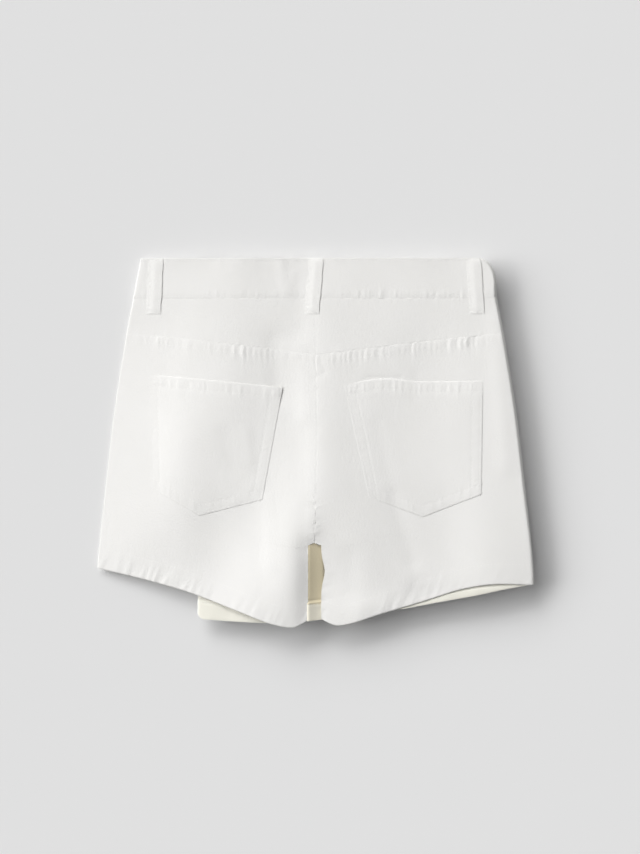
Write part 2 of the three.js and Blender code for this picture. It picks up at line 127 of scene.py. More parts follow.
for number, heading in enumerate(KEY_HEADINGS):
    key_data = bpy.data.lights.new(f"window_{number}", "SUN")
    key_data.energy = KEY_STRENGTH
    key_data.angle = KEY_SPREAD
    key_light = put(f"window_{number}", key_data)
    key_light.rotation_euler = (0, math.pi / 2 - KEY_ELEVATION, math.radians(heading) + math.pi)

world = bpy.data.worlds.new("room")
world.use_nodes = True
world.node_tree.nodes.clear()
room = add(world.node_tree, "ShaderNodeBackground", {"Color": (1, 1, 1, 1), "Strength": ROOM_STRENGTH})
add(world.node_tree, "ShaderNodeOutputWorld", {"Surface": room})
bpy.context.scene.world = world
bpy.context.scene.view_settings.view_transform = "Standard"
print("suns:", len(KEY_HEADINGS), "of strength", KEY_STRENGTH, "in a room of", ROOM_STRENGTH)

# %% Table and backdrop
TABLE_COLOUR = "#E4E4E4"
BACKDROP_COLOUR = "#DADADA"
TABLE_REACH = 12.0  # metres
TABLE_DROP = 0.0002  # metres, so that the cloth and the table share no plane
BACKDROP_FOOT = -0.5  # metres
RIM_POINTS = 64


def mesh_piece(name, points, faces, material, smooth=True):
    """An object made from a list of points in metres and a list of faces."""
    mesh = bpy.data.meshes.new(name)
    mesh.from_pydata(points, [], faces)
    mesh.polygons.foreach_set("use_smooth", np.full(len(faces), smooth))
    mesh.materials.append(material)
    return put(name, mesh)


# Matt painted board: even, with no gloss to catch the soft box.
painted_board, board_tree = new_material("painted_board")
board = add(board_tree, "ShaderNodeBsdfDiffuse", {"Color": srgb(TABLE_COLOUR)})
add(board_tree, "ShaderNodeOutputMaterial", {"Surface": board})

# Evenly lit paper far behind, seen only past the table's edge.
lit_paper, paper_tree = new_material("lit_paper")
paper = add(paper_tree, "ShaderNodeEmission", {"Color": srgb(BACKDROP_COLOUR)})
add(paper_tree, "ShaderNodeOutputMaterial", {"Surface": paper})

turns = np.linspace(0, 2 * math.pi, RIM_POINTS, endpoint=False)
table_rim, foot_rim, top_rim = (
    [(TABLE_REACH * math.cos(a), TABLE_REACH * math.sin(a), z) for a in turns]
    for z in (-TABLE_DROP, BACKDROP_FOOT, TABLE_REACH)
)
after = [(i + 1) % RIM_POINTS for i in range(RIM_POINTS)]
sides = [(i, n, RIM_POINTS + n, RIM_POINTS + i) for i, n in enumerate(after)]
table = mesh_piece("table", table_rim, [list(range(RIM_POINTS))], painted_board, smooth=False)
backdrop = mesh_piece("backdrop", foot_rim + top_rim, sides, lit_paper, smooth=False)
backdrop.visible_diffuse = False
backdrop.visible_glossy = False
backdrop.visible_shadow = False
print("table and backdrop reach, m:", TABLE_REACH)

# %% [markdown]
# ## The pattern cutter's sizes
# The same sizes as the frame's: how wide and how tall the garment is down its length, where its hems run,
# and where its seams are. The largest folds come from the frame too. Smaller creases, which the frame's
# coarse walls can't hold, are placed beside them.

# %% Driving sizes
SIDES = {"left": -1, "right": 1}
GAP = 0.3  # between pieces
HALF_GAP = GAP / 2
PANEL_GAP = 0.6  # between the waistband's lower edge and the panels under it
CLOTH = 1.0  # the thickness of one ply
PLY = CLOTH + GAP
LAP = 2.5  # how far a neighbour runs on beneath a felled edge
BAND = {"top": 166.0, "seam": 129.6, "wall": 2.2, "proud": 0.5, "overlap_end": -86.0, "underlap_end": 15.0}
LOOP = {"width": 13.0, "top": 165.6, "foot": 115.6}
BUTTON = {"x": -74.0, "y": 148.0, "wall": 2.0}
ZIP = {"x": -1.2, "half": 12.0, "foot": 45.0}
CROTCH = {"x": -0.4, "y": -90.5, "half": 6.0, "top": 0.9, "roll_left": 3.0, "roll_right": 6.0, "bow": 2.2}
YOKE = {"point": 1.6, "centre": 79.0, "side": 99.0, "reach": 169.0, "ease": 0.9}
RISE = {"from": 60.0, "to": 125.0}  # where the front climbs as far as the waistband stands out
# The button lifts the layers that lie on it: fully over its own size, and less out to its reach.
BUTTON_LIFT = {"height": BUTTON["wall"] + GAP, "flat": 10.0, "reach": 62.0}
# Towards its hems the front leaves the table and lies close under the back.
HEM_LIFT = {"from": -8.0, "to": -98.0, "share": 1.0, "stack": 3.8}
# Between the legs the skirt panel swells up into the gap, and at the right it swells beyond the hems.
GAP_SWELL = {"middle": 0.4, "height": 2.4, "half": 8.6, "lean": 0.13, "from": -84.0, "to": -90.0}
HEM_SWELL = {"height": 2.1, "before": 0.5, "over": 6.0, "from": 50.0, "full": 80.0}
WRAP_FOLDS = [("free corner", (-101, -138), (-103, -166), 15, 0.9)]
WRAP_STEP = {"before": 26.0, "over": 18.0}  # where the left front climbs over the skirt panel's free edge
WRAP_EDGE = {"top": -86.0, "hem": -105.5, "length": 290.0}
print("waistband's depth, mm:", round(BAND["top"] - BAND["seam"], 1))

# %% Outline and heights
# Down the garment: half its width, and how far in from the sides the cloth rolls over. The back turns
# down sharply on the right, above the front's wide roll.
SECTION = {
    "y": [-170.0, -114.0, -48.0, 24.0, 96.0, 129.6, 166.0],
    "half": [197.6, 196.4, 190.0, 181.8, 170.5, 164.0, 157.0],
    "roll_left": [1.2, 1.2, 1.2, 1.2, 1.6, 3.0, 4.0],
    "roll_right": [3.0, 3.0, 3.0, 3.0, 3.0, 3.0, 3.0],
    "tuck_left": [16.0, 16.0, 16.0, 16.0, 20.0, 26.0, 30.0],
    "tuck_right": [7.0, 7.0, 7.0, 7.0, 7.0, 7.0, 7.0],
}
# How far up from the front to the back the side seams run, and where one share passes into the other.
SIDE_SEAM = {"left": 0.92, "right": 0.68, "from": -60.0, "over": 120.0}
# The same for the edges at the gap between the legs, how far from the gap's middle they reach, and from
# which y downwards and over what length they take over.
GAP_SEAM = {"left": 0.8, "right": 0.88, "over": 10.0, "reach": 25.0, "from": -72.0, "by": 16.0}

# Heights of the back over the table, level by level down the garment, from the left side seam (-1) to
# the right (1), as a boat builder lofts a hull.
LOFT = {
    "across": [-1.0, -0.8, -0.62, -0.44, -0.26, -0.1, 0.04, 0.2, 0.4, 0.6, 0.8, 1.0],
    "y": [-170.0, -128.0, -86.0, -44.0, 0.0, 48.0, 96.0, 130.0, 166.0],
    "height": [
        [2.9, 4.8, 7.9, 11.6, 13.3, 13.2, 12.7, 12.8, 12.3, 12.4, 12.9, 11.9],
        [2.9, 5.2, 7.4, 9.3, 12.7, 15.0, 12.1, 13.1, 12.6, 12.6, 13.6, 12.4],
        [2.8, 6.1, 8.1, 8.8, 11.4, 14.7, 13.9, 14.0, 12.7, 12.1, 13.4, 13.2],
        [2.8, 6.1, 9.2, 9.9, 10.6, 12.9, 14.5, 13.8, 12.2, 11.9, 13.1, 13.1],
        [2.8, 6.1, 9.5, 10.3, 10.4, 11.7, 13.6, 12.9, 11.7, 11.8, 12.6, 12.9],
        [3.0, 6.0, 9.0, 10.7, 10.6, 10.8, 12.5, 12.3, 11.7, 11.4, 12.3, 12.8],
        [3.7, 6.5, 9.1, 10.4, 10.3, 10.3, 11.5, 11.6, 11.6, 11.3, 12.0, 12.5],
        [5.2, 7.3, 8.9, 9.9, 10.0, 10.1, 11.0, 11.2, 11.3, 11.7, 12.1, 12.6],
        [6.2, 7.5, 8.4, 9.7, 9.7, 9.8, 10.3, 10.9, 11.4, 12.0, 12.0, 12.9],
    ],
}

# Hem lines as (x, y), from left to right.
HEM = {
    "back_left": [(-196.4, -113.2), (-154, -123), (-111, -135.4), (-64, -153.5), (-40, -162.6), (-19, -166),
                  (-6.9, -160)],
    "back_right": [(4.5, -158.6), (22, -164.6), (62, -153.2), (100, -141.8), (130, -132.2), (160, -127.2),
                   (196.8, -127.8)],
    "front_left": [(-196.1, -110.2), (-111, -131), (-40, -156.5), (-6.9, -155)],
    "front_right": [(4.5, -155), (62, -148), (130, -128), (195, -122)],
    "wrap": [(-105.5, -159.2), (-45, -162.4), (0, -160), (76, -150.2), (112, -143.6), (148, -137),
             (170, -132.2), (196.7, -127.5)],
}
print("widest at the hems, mm:", 2 * max(SECTION["half"]))

# %% Folds and creases
# Soft ridges (positive) and troughs (negative) of the back: start, end, width, height.
FOLDS = [
    ("seat ridge", (-13, 86), (-10, 24), 9, 0.4),
    ("seat valley", (-38, 92), (-34, 40), 9, -0.4),
    ("inseam roll", (-5, -98), (-5, -160), 12, -0.9),
    ("right leg trough", (33, -104), (34, -132), 9, -0.3),
    ("right side crest", (163, 108), (172, -20), 9, 0.35),
    ("right hem dent", (92, -134), (102, -138), 10, -0.7),
    ("right hem ridge", (44, -150), (62, -146), 10, 0.4),
]

# Smaller creases that only the cloth has.
CREASES = [
    ("waistband bump", (-31, 168), (-27, 138), 5.5, 0.24),
    ("waistband bump, right", (-20, 150), (-23, 132), 5, 0.14),
    ("beside right pocket, top", (56, 16), (66, -32), 7, -0.18),
    ("beside right pocket, low", (70, -48), (88, -106), 8, -0.3),
    ("left thigh ridge", (-42, -52), (-41, -112), 8, 0.2),
    ("left pocket lump", (-62, 10), (-58, -16), 5, 0.14),
    ("left pocket dimple", (-80, 8), (-74, -24), 8, -0.2),
    ("left pocket corner", (-62, -46), (-52, -38), 7, 0.15),
    ("yoke crease", (5, 76), (9, 64), 2.5, -0.1),
    ("yoke crease, foot", (8, 62), (-1, 57), 2.5, -0.1),
    ("pocket mouth", (46, 58.2), (78, 58.6), 1.6, -0.14),
    ("pocket mouth fold", (92, 62), (90, 42), 6, -0.12),
    ("gusset", (-3, -70), (-1, -80), 7, 0.25),
]
print("folds and creases:", len(FOLDS) + len(CREASES))


# %% Curves and blends
def ease(t):
    t = np.clip(t, 0, 1)
    return t * t * (3 - 2 * t)


def mix(a, b, t):
    return a + (b - a) * t


def bell(away, half):
    """A hump: 1 in its middle, and about a third at a distance of half."""
    return np.exp(-((away / half) ** 2))


def pairs(x, y):
    return np.stack([x, y], -1)


def through(keys, values, at):
    """A smooth curve through points whose keys rise, read at any array of places. Each value may be a
    number, or an array of the places' own shape."""
    keys, values, at = (np.asarray(v, float) for v in (keys, values, at))
    own = values.ndim > 1
    wide = (slice(None),) + (None,) * (values.ndim - 1)
    slopes = np.empty_like(values)
    slopes[1:-1] = (values[2:] - values[:-2]) / (keys[2:] - keys[:-2])[wide]
    slopes[0] = (values[1] - values[0]) / (keys[1] - keys[0])
    slopes[-1] = (values[-1] - values[-2]) / (keys[-1] - keys[-2])
    i = np.clip(np.searchsorted(keys, at, side="right") - 1, 0, len(keys) - 2)
    span = keys[i + 1] - keys[i]
    t = np.clip((at - keys[i]) / span, 0, 1)
    here, after = ((i, *np.indices(at.shape)), (i + 1, *np.indices(at.shape))) if own else (i, i + 1)
    ends = (2 * t**3 - 3 * t**2 + 1) * values[here] + (3 * t**2 - 2 * t**3) * values[after]
    return ends + span * ((t**3 - 2 * t**2 + t) * slopes[here] + (t**3 - t**2) * slopes[after])


def section(column, y):
    return through(SECTION["y"], SECTION[column], y)


def hem_y(name, x):
    xs, ys = zip(*HEM[name])
    return through(xs, ys, x)


def ridges(rows, x, y):
    """The summed height of soft ridges and troughs over any array of places."""
    height = np.zeros(np.broadcast(x, y).shape)
    for _, (x0, y0), (x1, y1), width, rise in rows:
        dx, dy = x1 - x0, y1 - y0
        t = np.clip(((x - x0) * dx + (y - y0) * dy) / (dx * dx + dy * dy), 0, 1)
        off = np.hypot(x - x0 - t * dx, y - y0 - t * dy)
        height += rise * bell(off, width)
    return height


# %% Seam lines
def seat_seam_x(y):
    climb = np.clip((y - CROTCH["y"]) / (BAND["seam"] - CROTCH["y"]), 0, 1)
    return CROTCH["x"] + CROTCH["bow"] * np.sin(np.pi * climb)


def wrap_edge_x(y):
    return mix(WRAP_EDGE["top"], WRAP_EDGE["hem"], ease((BAND["seam"] - y) / WRAP_EDGE["length"]))


def yoke_seam_y(x):
    outward = np.clip(np.abs(x - YOKE["point"]) / YOKE["reach"], 0, 1)
    return mix(YOKE["centre"], YOKE["side"], outward ** YOKE["ease"])


print("the yoke's point, mm:", yoke_seam_y(YOKE["point"]))


# %% [markdown]
# ## The form that the cloth lies on
# Laid flat, each layer is nearly level and rolls over at the side seams, and the two legs roll over
# towards the gap between them. One function gives a point of a layer's outer face, and its direction
# outwards, for any place on the table. Every panel, pocket, loop and stitch is made with it, so what is
# sewn to a panel follows that panel's folds. Loft is the usual way to draw such a form by hand; a
# function is better here because thousands of points share it.


# %% Heights
def front_floor(x, y):
    """The height of the front's outer face: on the table, but for the waistband's depth, the button, and
    the lift towards the hems."""
    away = np.hypot(x - BUTTON["x"], y - BUTTON["y"])
    over_button = ease((BUTTON_LIFT["reach"] - away) / (BUTTON_LIFT["reach"] - BUTTON_LIFT["flat"]))
    towards_hem = ease((y - HEM_LIFT["from"]) / (HEM_LIFT["to"] - HEM_LIFT["from"]))
    over = lofted(x, y) + ridges(FOLDS, x, y)
    return (
        BAND["proud"] * ease((y - RISE["from"]) / (RISE["to"] - RISE["from"]))
        + BUTTON_LIFT["height"] * over_button
        + HEM_LIFT["share"] * towards_hem * np.maximum(0, over - HEM_LIFT["stack"])
    )


def over_wrap(x, y):
    return ease((x - wrap_edge_x(y) + WRAP_STEP["before"]) / WRAP_STEP["over"])


def lofted(x, y):
    share = x / section("half", y)
    levels = np.stack([through(LOFT["across"], heights, share) for heights in LOFT["height"]])
    return through(LOFT["y"], levels, np.broadcast_to(np.asarray(y, float), levels.shape[1:]))


def in_gap(x):
    """1 between the legs, falling to 0 just under their edges."""
    return np.exp(-(((x - GAP_SWELL["middle"]) / GAP_SWELL["half"]) ** 10))


def wrap_height(x, y):
    swell = (GAP_SWELL["height"] - GAP_SWELL["lean"] * (x - GAP_SWELL["middle"])) * in_gap(x)
    down = ease((y - GAP_SWELL["from"]) / (GAP_SWELL["to"] - GAP_SWELL["from"]))
    beyond = hem_y("front_right", x) - HEM_SWELL["before"] - y
    rightward = ease((x - HEM_SWELL["from"]) / (HEM_SWELL["full"] - HEM_SWELL["from"]))
    lift = HEM_SWELL["height"] * ease(beyond / HEM_SWELL["over"]) * rightward
    return front_floor(x, y) + swell * down + lift + ridges(WRAP_FOLDS, x, y)


def back_height(x, y):
    return lofted(x, y) + ridges(FOLDS + CREASES, x, y)


def seam_height(x, y):
    """How high the rolled edges of the front and the back meet."""
    side = ease((x - SIDE_SEAM["from"]) / SIDE_SEAM["over"])
    share = mix(SIDE_SEAM["left"], SIDE_SEAM["right"], side)
    aside = x - CROTCH["x"]
    gap_side = ease((aside + GAP_SEAM["over"] / 2) / GAP_SEAM["over"])
    gap_share = mix(GAP_SEAM["left"], GAP_SEAM["right"], gap_side)
    by_gap = bell(aside, GAP_SEAM["reach"]) * ease((GAP_SEAM["from"] - y) / GAP_SEAM["by"])
    return mix(front_floor(x, y), lofted(x, y), mix(share, gap_share, by_gap))


print("height of the back's middle, mm:", round(float(back_height(np.zeros(1), 0.0)[0]), 1))


# %% Layers
# Each layer: the way its outer face looks, that face's height, how far in from the outline it lies, which
# of the outline's rolls it has, and whether it is parted between the legs.
LAYERS = {
    "back": {"up": 1, "height": back_height, "inset": 0.0, "roll": "roll", "legs": True},
    "front_left": {
        "up": -1,
        "height": lambda x, y: front_floor(x, y) + PLY * over_wrap(x, y),
        "inset": 0.7,
        "roll": "tuck",
        "legs": True,
    },
    "front_right": {
        "up": -1,
        "height": lambda x, y: front_floor(x, y) + PLY,
        "inset": PLY,
        "roll": "tuck",
        "legs": True,
    },
    "wrap": {"up": -1, "height": wrap_height, "inset": 0.0, "roll": "tuck", "legs": False},
}
print("layers:", len(LAYERS))

# %% Rolled edges
STEP = 0.01  # for slopes, in millimetres


def slopes_of(height_at, x, y):
    across = height_at(x + STEP, y) - height_at(x - STEP, y)
    down = height_at(x, y + STEP) - height_at(x, y - STEP)
    return across / (2 * STEP), down / (2 * STEP)


def side_roll(layer, x, y):
    right = section(layer["roll"] + "_right", y) - layer["inset"]
    return np.where(np.asarray(x) < 0, section(layer["roll"] + "_left", y), right)


def gap_roll(rightward):
    return mix(CROTCH["roll_right"], CROTCH["roll_left"], np.clip(-rightward, 0, 1))


def roll_at(layer, x, y):
    """The nearest rolled edge: how far in from it a point is, as a share of the roll, and the way in."""
    roll = side_roll(layer, x, y)
    slope = (section("half", y + STEP) - section("half", y - STEP)) / (2 * STEP)
    steep = np.hypot(1, slope)
    share = (section("half", y) - layer["inset"] - np.abs(x)) / steep / roll
    in_x, in_y = -np.sign(x) / steep, slope / steep
    if not layer["legs"]:
        return share, roll, in_x, in_y
    dx = x - CROTCH["x"]
    dy = np.maximum(0, y - CROTCH["y"] + CROTCH["half"])
    reach = np.maximum(1e-6, np.hypot(dx, dy))
    gap_reach = gap_roll(dx / reach)
    gap_share = (reach - CROTCH["half"]) / gap_reach
    near = gap_share < share
    return (
        np.where(near, gap_share, share),
        np.where(near, gap_reach, roll),
        np.where(near, dx / reach, in_x),
        np.where(near, dy / reach, in_y),
    )


def on_layer(layer, x, y):
    """Points of a layer's outer face over (x, y), and the face's normals there. Edges roll over as
    quarter ellipses, but for the front's left side, which slants up from the table to a pressed edge."""
    x, y = np.asarray(x, float), np.asarray(y, float)
    up, height_at = layer["up"], layer["height"]
    share, roll, in_x, in_y = roll_at(layer, x, y)
    cosine = 1 - np.clip(share, 0, 1)
    slants = (up < 0) & (x < section("tuck_left", y) - section("half", y))
    sine = np.where(slants, 1 - cosine**2, np.sqrt(np.maximum(0, 1 - cosine**2)))
    height, seam = height_at(x, y), seam_height(x, y) + up * HALF_GAP
    slope_x, slope_y = slopes_of(height_at, x, y)
    seam_x, seam_y = slopes_of(seam_height, x, y)
    fall = (height - seam) / roll * cosine * np.where(slants, 2, 1)
    weight = np.where(slants, 1, sine)
    normal = np.stack(
        [
            -up * (weight * mix(seam_x, slope_x, sine) + fall * in_x),
            -up * (weight * mix(seam_y, slope_y, sine) + fall * in_y),
            up * weight,
        ],
        axis=-1,
    )
    normal /= np.maximum(1e-9, np.linalg.norm(normal, axis=-1, keepdims=True))
    point = np.stack([x, y, mix(seam, height, sine)], axis=-1)
    return point, normal


# %% [markdown]
# ## Plans of the pieces
# A piece's plan is a grid of places on the table inside its four edges. The grid runs round the rolled
# sides in finer steps. Coons's way of filling four edges keeps the rows parallel to the seams, as the
# threads of a well-cut panel nearly are.

# %% Grids
FINE = 1.25  # between points of what shows, in millimetres
COARSE = 2.6  # between points of what is underneath
ROLL_STEPS = 9


def spread(a, b, roll_a, roll_b, pitch):
    """Places from a to b: short steps round each rolled end, and steps of about pitch between."""
    a, b, roll_a, roll_b = (float(v) for v in (a, b, roll_a, roll_b))
    way = np.sign(b - a)
    arc = 1 - np.cos(np.linspace(0, np.pi / 2, ROLL_STEPS, endpoint=False))
    start, stop = a + way * roll_a, b - way * roll_b
    steps = max(2, int(round(abs(stop - start) / pitch)))
    first = a + way * roll_a * arc if roll_a > 0 else np.empty(0)
    last = (b - way * roll_b * arc)[::-1] if roll_b > 0 else np.empty(0)
    return np.concatenate([first, np.linspace(start, stop, steps + 1), last])


def resized(places, count):
    """The same run of places with another number of steps."""
    return np.interp(np.linspace(0, 1, count), np.linspace(0, 1, len(places)), places)


def denser(places, along, low, high, times):
    """Places with more between those whose partners in along lie from low to high."""
    index = np.arange(len(places), dtype=float)
    busy = index[(along > low) & (along < high)]
    index = np.sort(np.concatenate([index, *(busy + part / times for part in range(1, times))]))
    return np.interp(index, np.arange(len(places)), places)


def fill(top, bottom, outer, inner):
    """The grid inside four edges: top and bottom run from outer to inner, which run downwards."""
    u_top = (top[:, 0] - top[0, 0]) / (top[-1, 0] - top[0, 0])
    u_bottom = (bottom[:, 0] - bottom[0, 0]) / (bottom[-1, 0] - bottom[0, 0])
    u = ((u_top + u_bottom) / 2)[None, :, None]
    v = np.linspace(0, 1, len(outer))[:, None, None]
    across = mix(outer[:, None, :], inner[:, None, :], u)
    down = mix(top[None], bottom[None], v)
    chords = mix(mix(top[0], top[-1], u), mix(bottom[0], bottom[-1], u), v)
    return across + down - chords


def side_x(sign, y, inset=0.0):
    return sign * (section("half", y) - inset)


# %% Edges at the middle
LAP_START = 5.0  # above the crotch, a felled seat seam's lap grows over this length
FRONT_INSEAM = {"left": 2.4, "right": 4.4}  # how far the fronts' inseams hide behind the back's
INSEAM_BULGE = {"out": 3.2, "y": -116.0, "half": 11.0}  # of the right leg over the gap
CROTCH_TURN = 9.0  # length of the turn round the crotch


def above_crotch(y):
    return ease((y - CROTCH["y"]) / LAP_START)


def seam_side(sign, y, laps):
    """The edge of a panel at the seat seam. A felled left panel lies over the right one."""
    lap = LAP * above_crotch(y) if laps and sign > 0 else 0.0
    return seat_seam_x(y) + sign * HALF_GAP - lap


def middle_edge(sign, top_y, hem, pitch, laps):
    """A leg panel's edge at the middle: down the seat seam, round the crotch, down the inseam."""
    seam_y = spread(top_y, CROTCH["y"], 0, CROTCH["roll_left"], pitch)
    turn = np.linspace(0, np.pi / 2, max(4, int(CROTCH_TURN / pitch)))[1:]
    turn_x = CROTCH["x"] + sign * CROTCH["half"] * np.sin(turn)
    turn_y = CROTCH["y"] - CROTCH["top"] * (1 - np.cos(turn))
    foot = CROTCH["y"] - CROTCH["top"]
    inseam_y = np.linspace(foot, hem, max(4, int((foot - hem) / pitch)))[1:]
    hidden = 0.0 if laps else mix(FRONT_INSEAM["left"], FRONT_INSEAM["right"], max(0, sign))
    bulge = max(0, sign) * INSEAM_BULGE["out"] * bell(inseam_y - INSEAM_BULGE["y"], INSEAM_BULGE["half"])
    inseam_x = CROTCH["x"] + sign * (CROTCH["half"] + hidden) + bulge
    seam = pairs(seam_side(sign, seam_y, laps), seam_y)
    return np.concatenate([seam, pairs(turn_x, turn_y), pairs(inseam_x, inseam_y)])


# %% Plans
def leg_plan(sign, layer, hem, top_y, pitch):
    ends = HEM[hem] if sign < 0 else HEM[hem][::-1]
    hem_side, hem_inner = ends[0][1], ends[-1][1]
    side_top = top_y(side_x(sign, top_y(sign * YOKE["reach"])))
    inner = middle_edge(sign, top_y(YOKE["point"]), hem_inner, pitch, layer["up"] > 0)
    outer_y = np.linspace(side_top, hem_side, len(inner))
    outer = pairs(side_x(sign, outer_y, layer["inset"]), outer_y)
    gap = gap_roll(sign)
    hem_outer, hem_foot = side_x(sign, hem_side, layer["inset"]), CROTCH["x"] + sign * CROTCH["half"]
    top_x = spread(outer[0, 0], inner[0, 0], side_roll(layer, sign, side_top), gap, pitch)
    hem_x = spread(hem_outer, hem_foot, side_roll(layer, sign, hem_side), gap, pitch)
    hem_x = resized(hem_x, len(top_x))
    return fill(pairs(top_x, top_y(top_x)), pairs(hem_x, hem_y(hem, hem_x)), outer, inner)


def under_band(x):
    return BAND["seam"] - PANEL_GAP + 0 * np.asarray(x, float)


def yoke_foot(x):
    return yoke_seam_y(np.asarray(x, float))


def yoke_plan(sign, pitch):
    top_y, side_y, middle_y = BAND["seam"] + LAP, YOKE["side"] - LAP, YOKE["centre"] - LAP
    outer_y = np.linspace(top_y, side_y, int((top_y - middle_y) / pitch))
    inner_y = np.linspace(top_y, middle_y, len(outer_y))
    back = LAYERS["back"]
    top_x, foot_x = (
        spread(side_x(sign, y), seam_side(sign, seam_y, True), side_roll(back, sign, y), LAP, pitch)
        for y, seam_y in ((top_y, top_y), (side_y, middle_y))
    )
    foot_x = resized(foot_x, len(top_x))
    return fill(
        pairs(top_x, np.full_like(top_x, top_y)),
        pairs(foot_x, yoke_seam_y(foot_x) - LAP),
        pairs(side_x(sign, outer_y), outer_y),
        pairs(seam_side(sign, inner_y, True), inner_y),
    )


# More points where the skirt panel's hem is turned up, by height above it, and where the panel swells
# into the gap, by x: from, to, and how many times as many.
WRAP_FINER = {"hem": (12, 21, 4), "gap": (-14, 16, 3)}


def wrap_plan(pitch):
    top_y = BAND["seam"] - PANEL_GAP
    hem_side, hem_free = HEM["wrap"][-1][1], HEM["wrap"][0][1]
    outer_y = np.linspace(top_y, hem_side, int((top_y - hem_free) / pitch))
    inner_y = np.linspace(top_y, hem_free, len(outer_y))
    above_hem = inner_y - hem_free
    outer_y, inner_y = (denser(places, above_hem, *WRAP_FINER["hem"]) for places in (outer_y, inner_y))
    roll = side_roll(LAYERS["wrap"], 1, top_y)
    top_x = spread(side_x(1, top_y), WRAP_EDGE["top"], roll, 0, pitch)
    hem_x = resized(spread(side_x(1, hem_side), wrap_edge_x(hem_free), roll, 0, pitch), len(top_x))
    top_x, hem_x = (denser(places, hem_x, *WRAP_FINER["gap"]) for places in (top_x, hem_x))
    return fill(
        pairs(top_x, np.full_like(top_x, top_y)),
        pairs(hem_x, hem_y("wrap", hem_x)),
        pairs(side_x(1, outer_y), outer_y),
        pairs(wrap_edge_x(inner_y), inner_y),
    )


# %% [markdown]
# ## From a plan to cloth
# Cloth is a closed shell: an outer face, an inner face a ply below it, and a rounded rim, because a
# folded edge of twill is round and catches the light. The Solidify modifier gives every edge a square
# rim of one thickness, so the shell is built directly: hems and fells are thicker than a single ply.
# The shell carries a UV map in metres along and across the cloth, which the weave follows.


# %% Distances on the cloth
def lengths(points, axis):
    """How far along an axis of the grid each point is, measured on the cloth."""
    steps = np.linalg.norm(np.diff(points, axis=axis), axis=-1)
    start = np.zeros_like(np.take(steps, [0], axis=axis))
    return np.concatenate([start, np.cumsum(steps, axis=axis)], axis=axis)


def edge_distances(points):
    """Each grid point's distance from the top, bottom, outer and inner edges, in millimetres."""
    down, across = lengths(points, 0), lengths(points, 1)
    return {
        "top": down,
        "bottom": down[-1:] - down,
        "outer": across,
        "inner": across[:, -1:] - across,
    }


def loop_round(grid):
    """The points of a grid's border, once round."""
    return np.concatenate([grid[0], grid[1:, -1], grid[-1, -2::-1], grid[-2:0:-1, 0]])


def border_ways(points):
    """For each border point, the direction that leads out of the grid."""
    ways = np.zeros_like(points)
    ways[0] += points[0] - points[1]
    ways[-1] += points[-1] - points[-2]
    ways[:, 0] += points[:, 0] - points[:, 1]
    ways[:, -1] += points[:, -1] - points[:, -2]
    return loop_round(ways)


def laid(layer, plan):
    """A plan laid on a layer: its places, the points and normals there, and the edges' distances."""
    x, y = plan[..., 0], plan[..., 1]
    points, normals = on_layer(layer, x, y)
    return x, y, points, normals, edge_distances(points)


# %% Shells
RIM_TURNS = np.radians([60, 30, 0, -30, -60])
RIM_WALL = 0.07  # a pressed edge is this thin at its very rim
RIM_REACH = 4.0


def pressed_thin(wall, distance):
    """A wall's thickness near a pressed edge."""
    return mix(RIM_WALL, wall, ease(distance / RIM_REACH))


def make_mesh(name, points, quads, uv, inner_faces, outside, inside):
    """A smooth mesh in metres from points in millimetres, turned so that its faces point outwards."""
    a, b, c, d = (points[quads[:, i]] for i in range(4))
    volume = np.einsum("ij,ij->i", a, np.cross(b, c)) + np.einsum("ij,ij->i", a, np.cross(c, d))
    if volume.sum() < 0:
        quads = quads[:, ::-1]
    mesh = bpy.data.meshes.new(name)
    mesh.vertices.add(len(points))
    mesh.vertices.foreach_set("co", (points * MM).ravel())
    mesh.loops.add(quads.size)
    mesh.loops.foreach_set("vertex_index", quads.ravel().astype(np.int32))
    mesh.polygons.add(len(quads))
    mesh.polygons.foreach_set("loop_start", np.arange(0, quads.size, 4, dtype=np.int32))
    mesh.polygons.foreach_set("use_smooth", np.ones(len(quads), bool))
    mesh.materials.append(outside)
    mesh.materials.append(inside)
    mesh.polygons.foreach_set("material_index", inner_faces.astype(np.int32))
    mesh.uv_layers.new(name="cloth")
    mesh.update(calc_edges=True)
    mesh.uv_layers["cloth"].uv.foreach_set("vector", (uv[quads.ravel()] * MM).ravel())
    mesh.validate()
    return put(name, mesh)


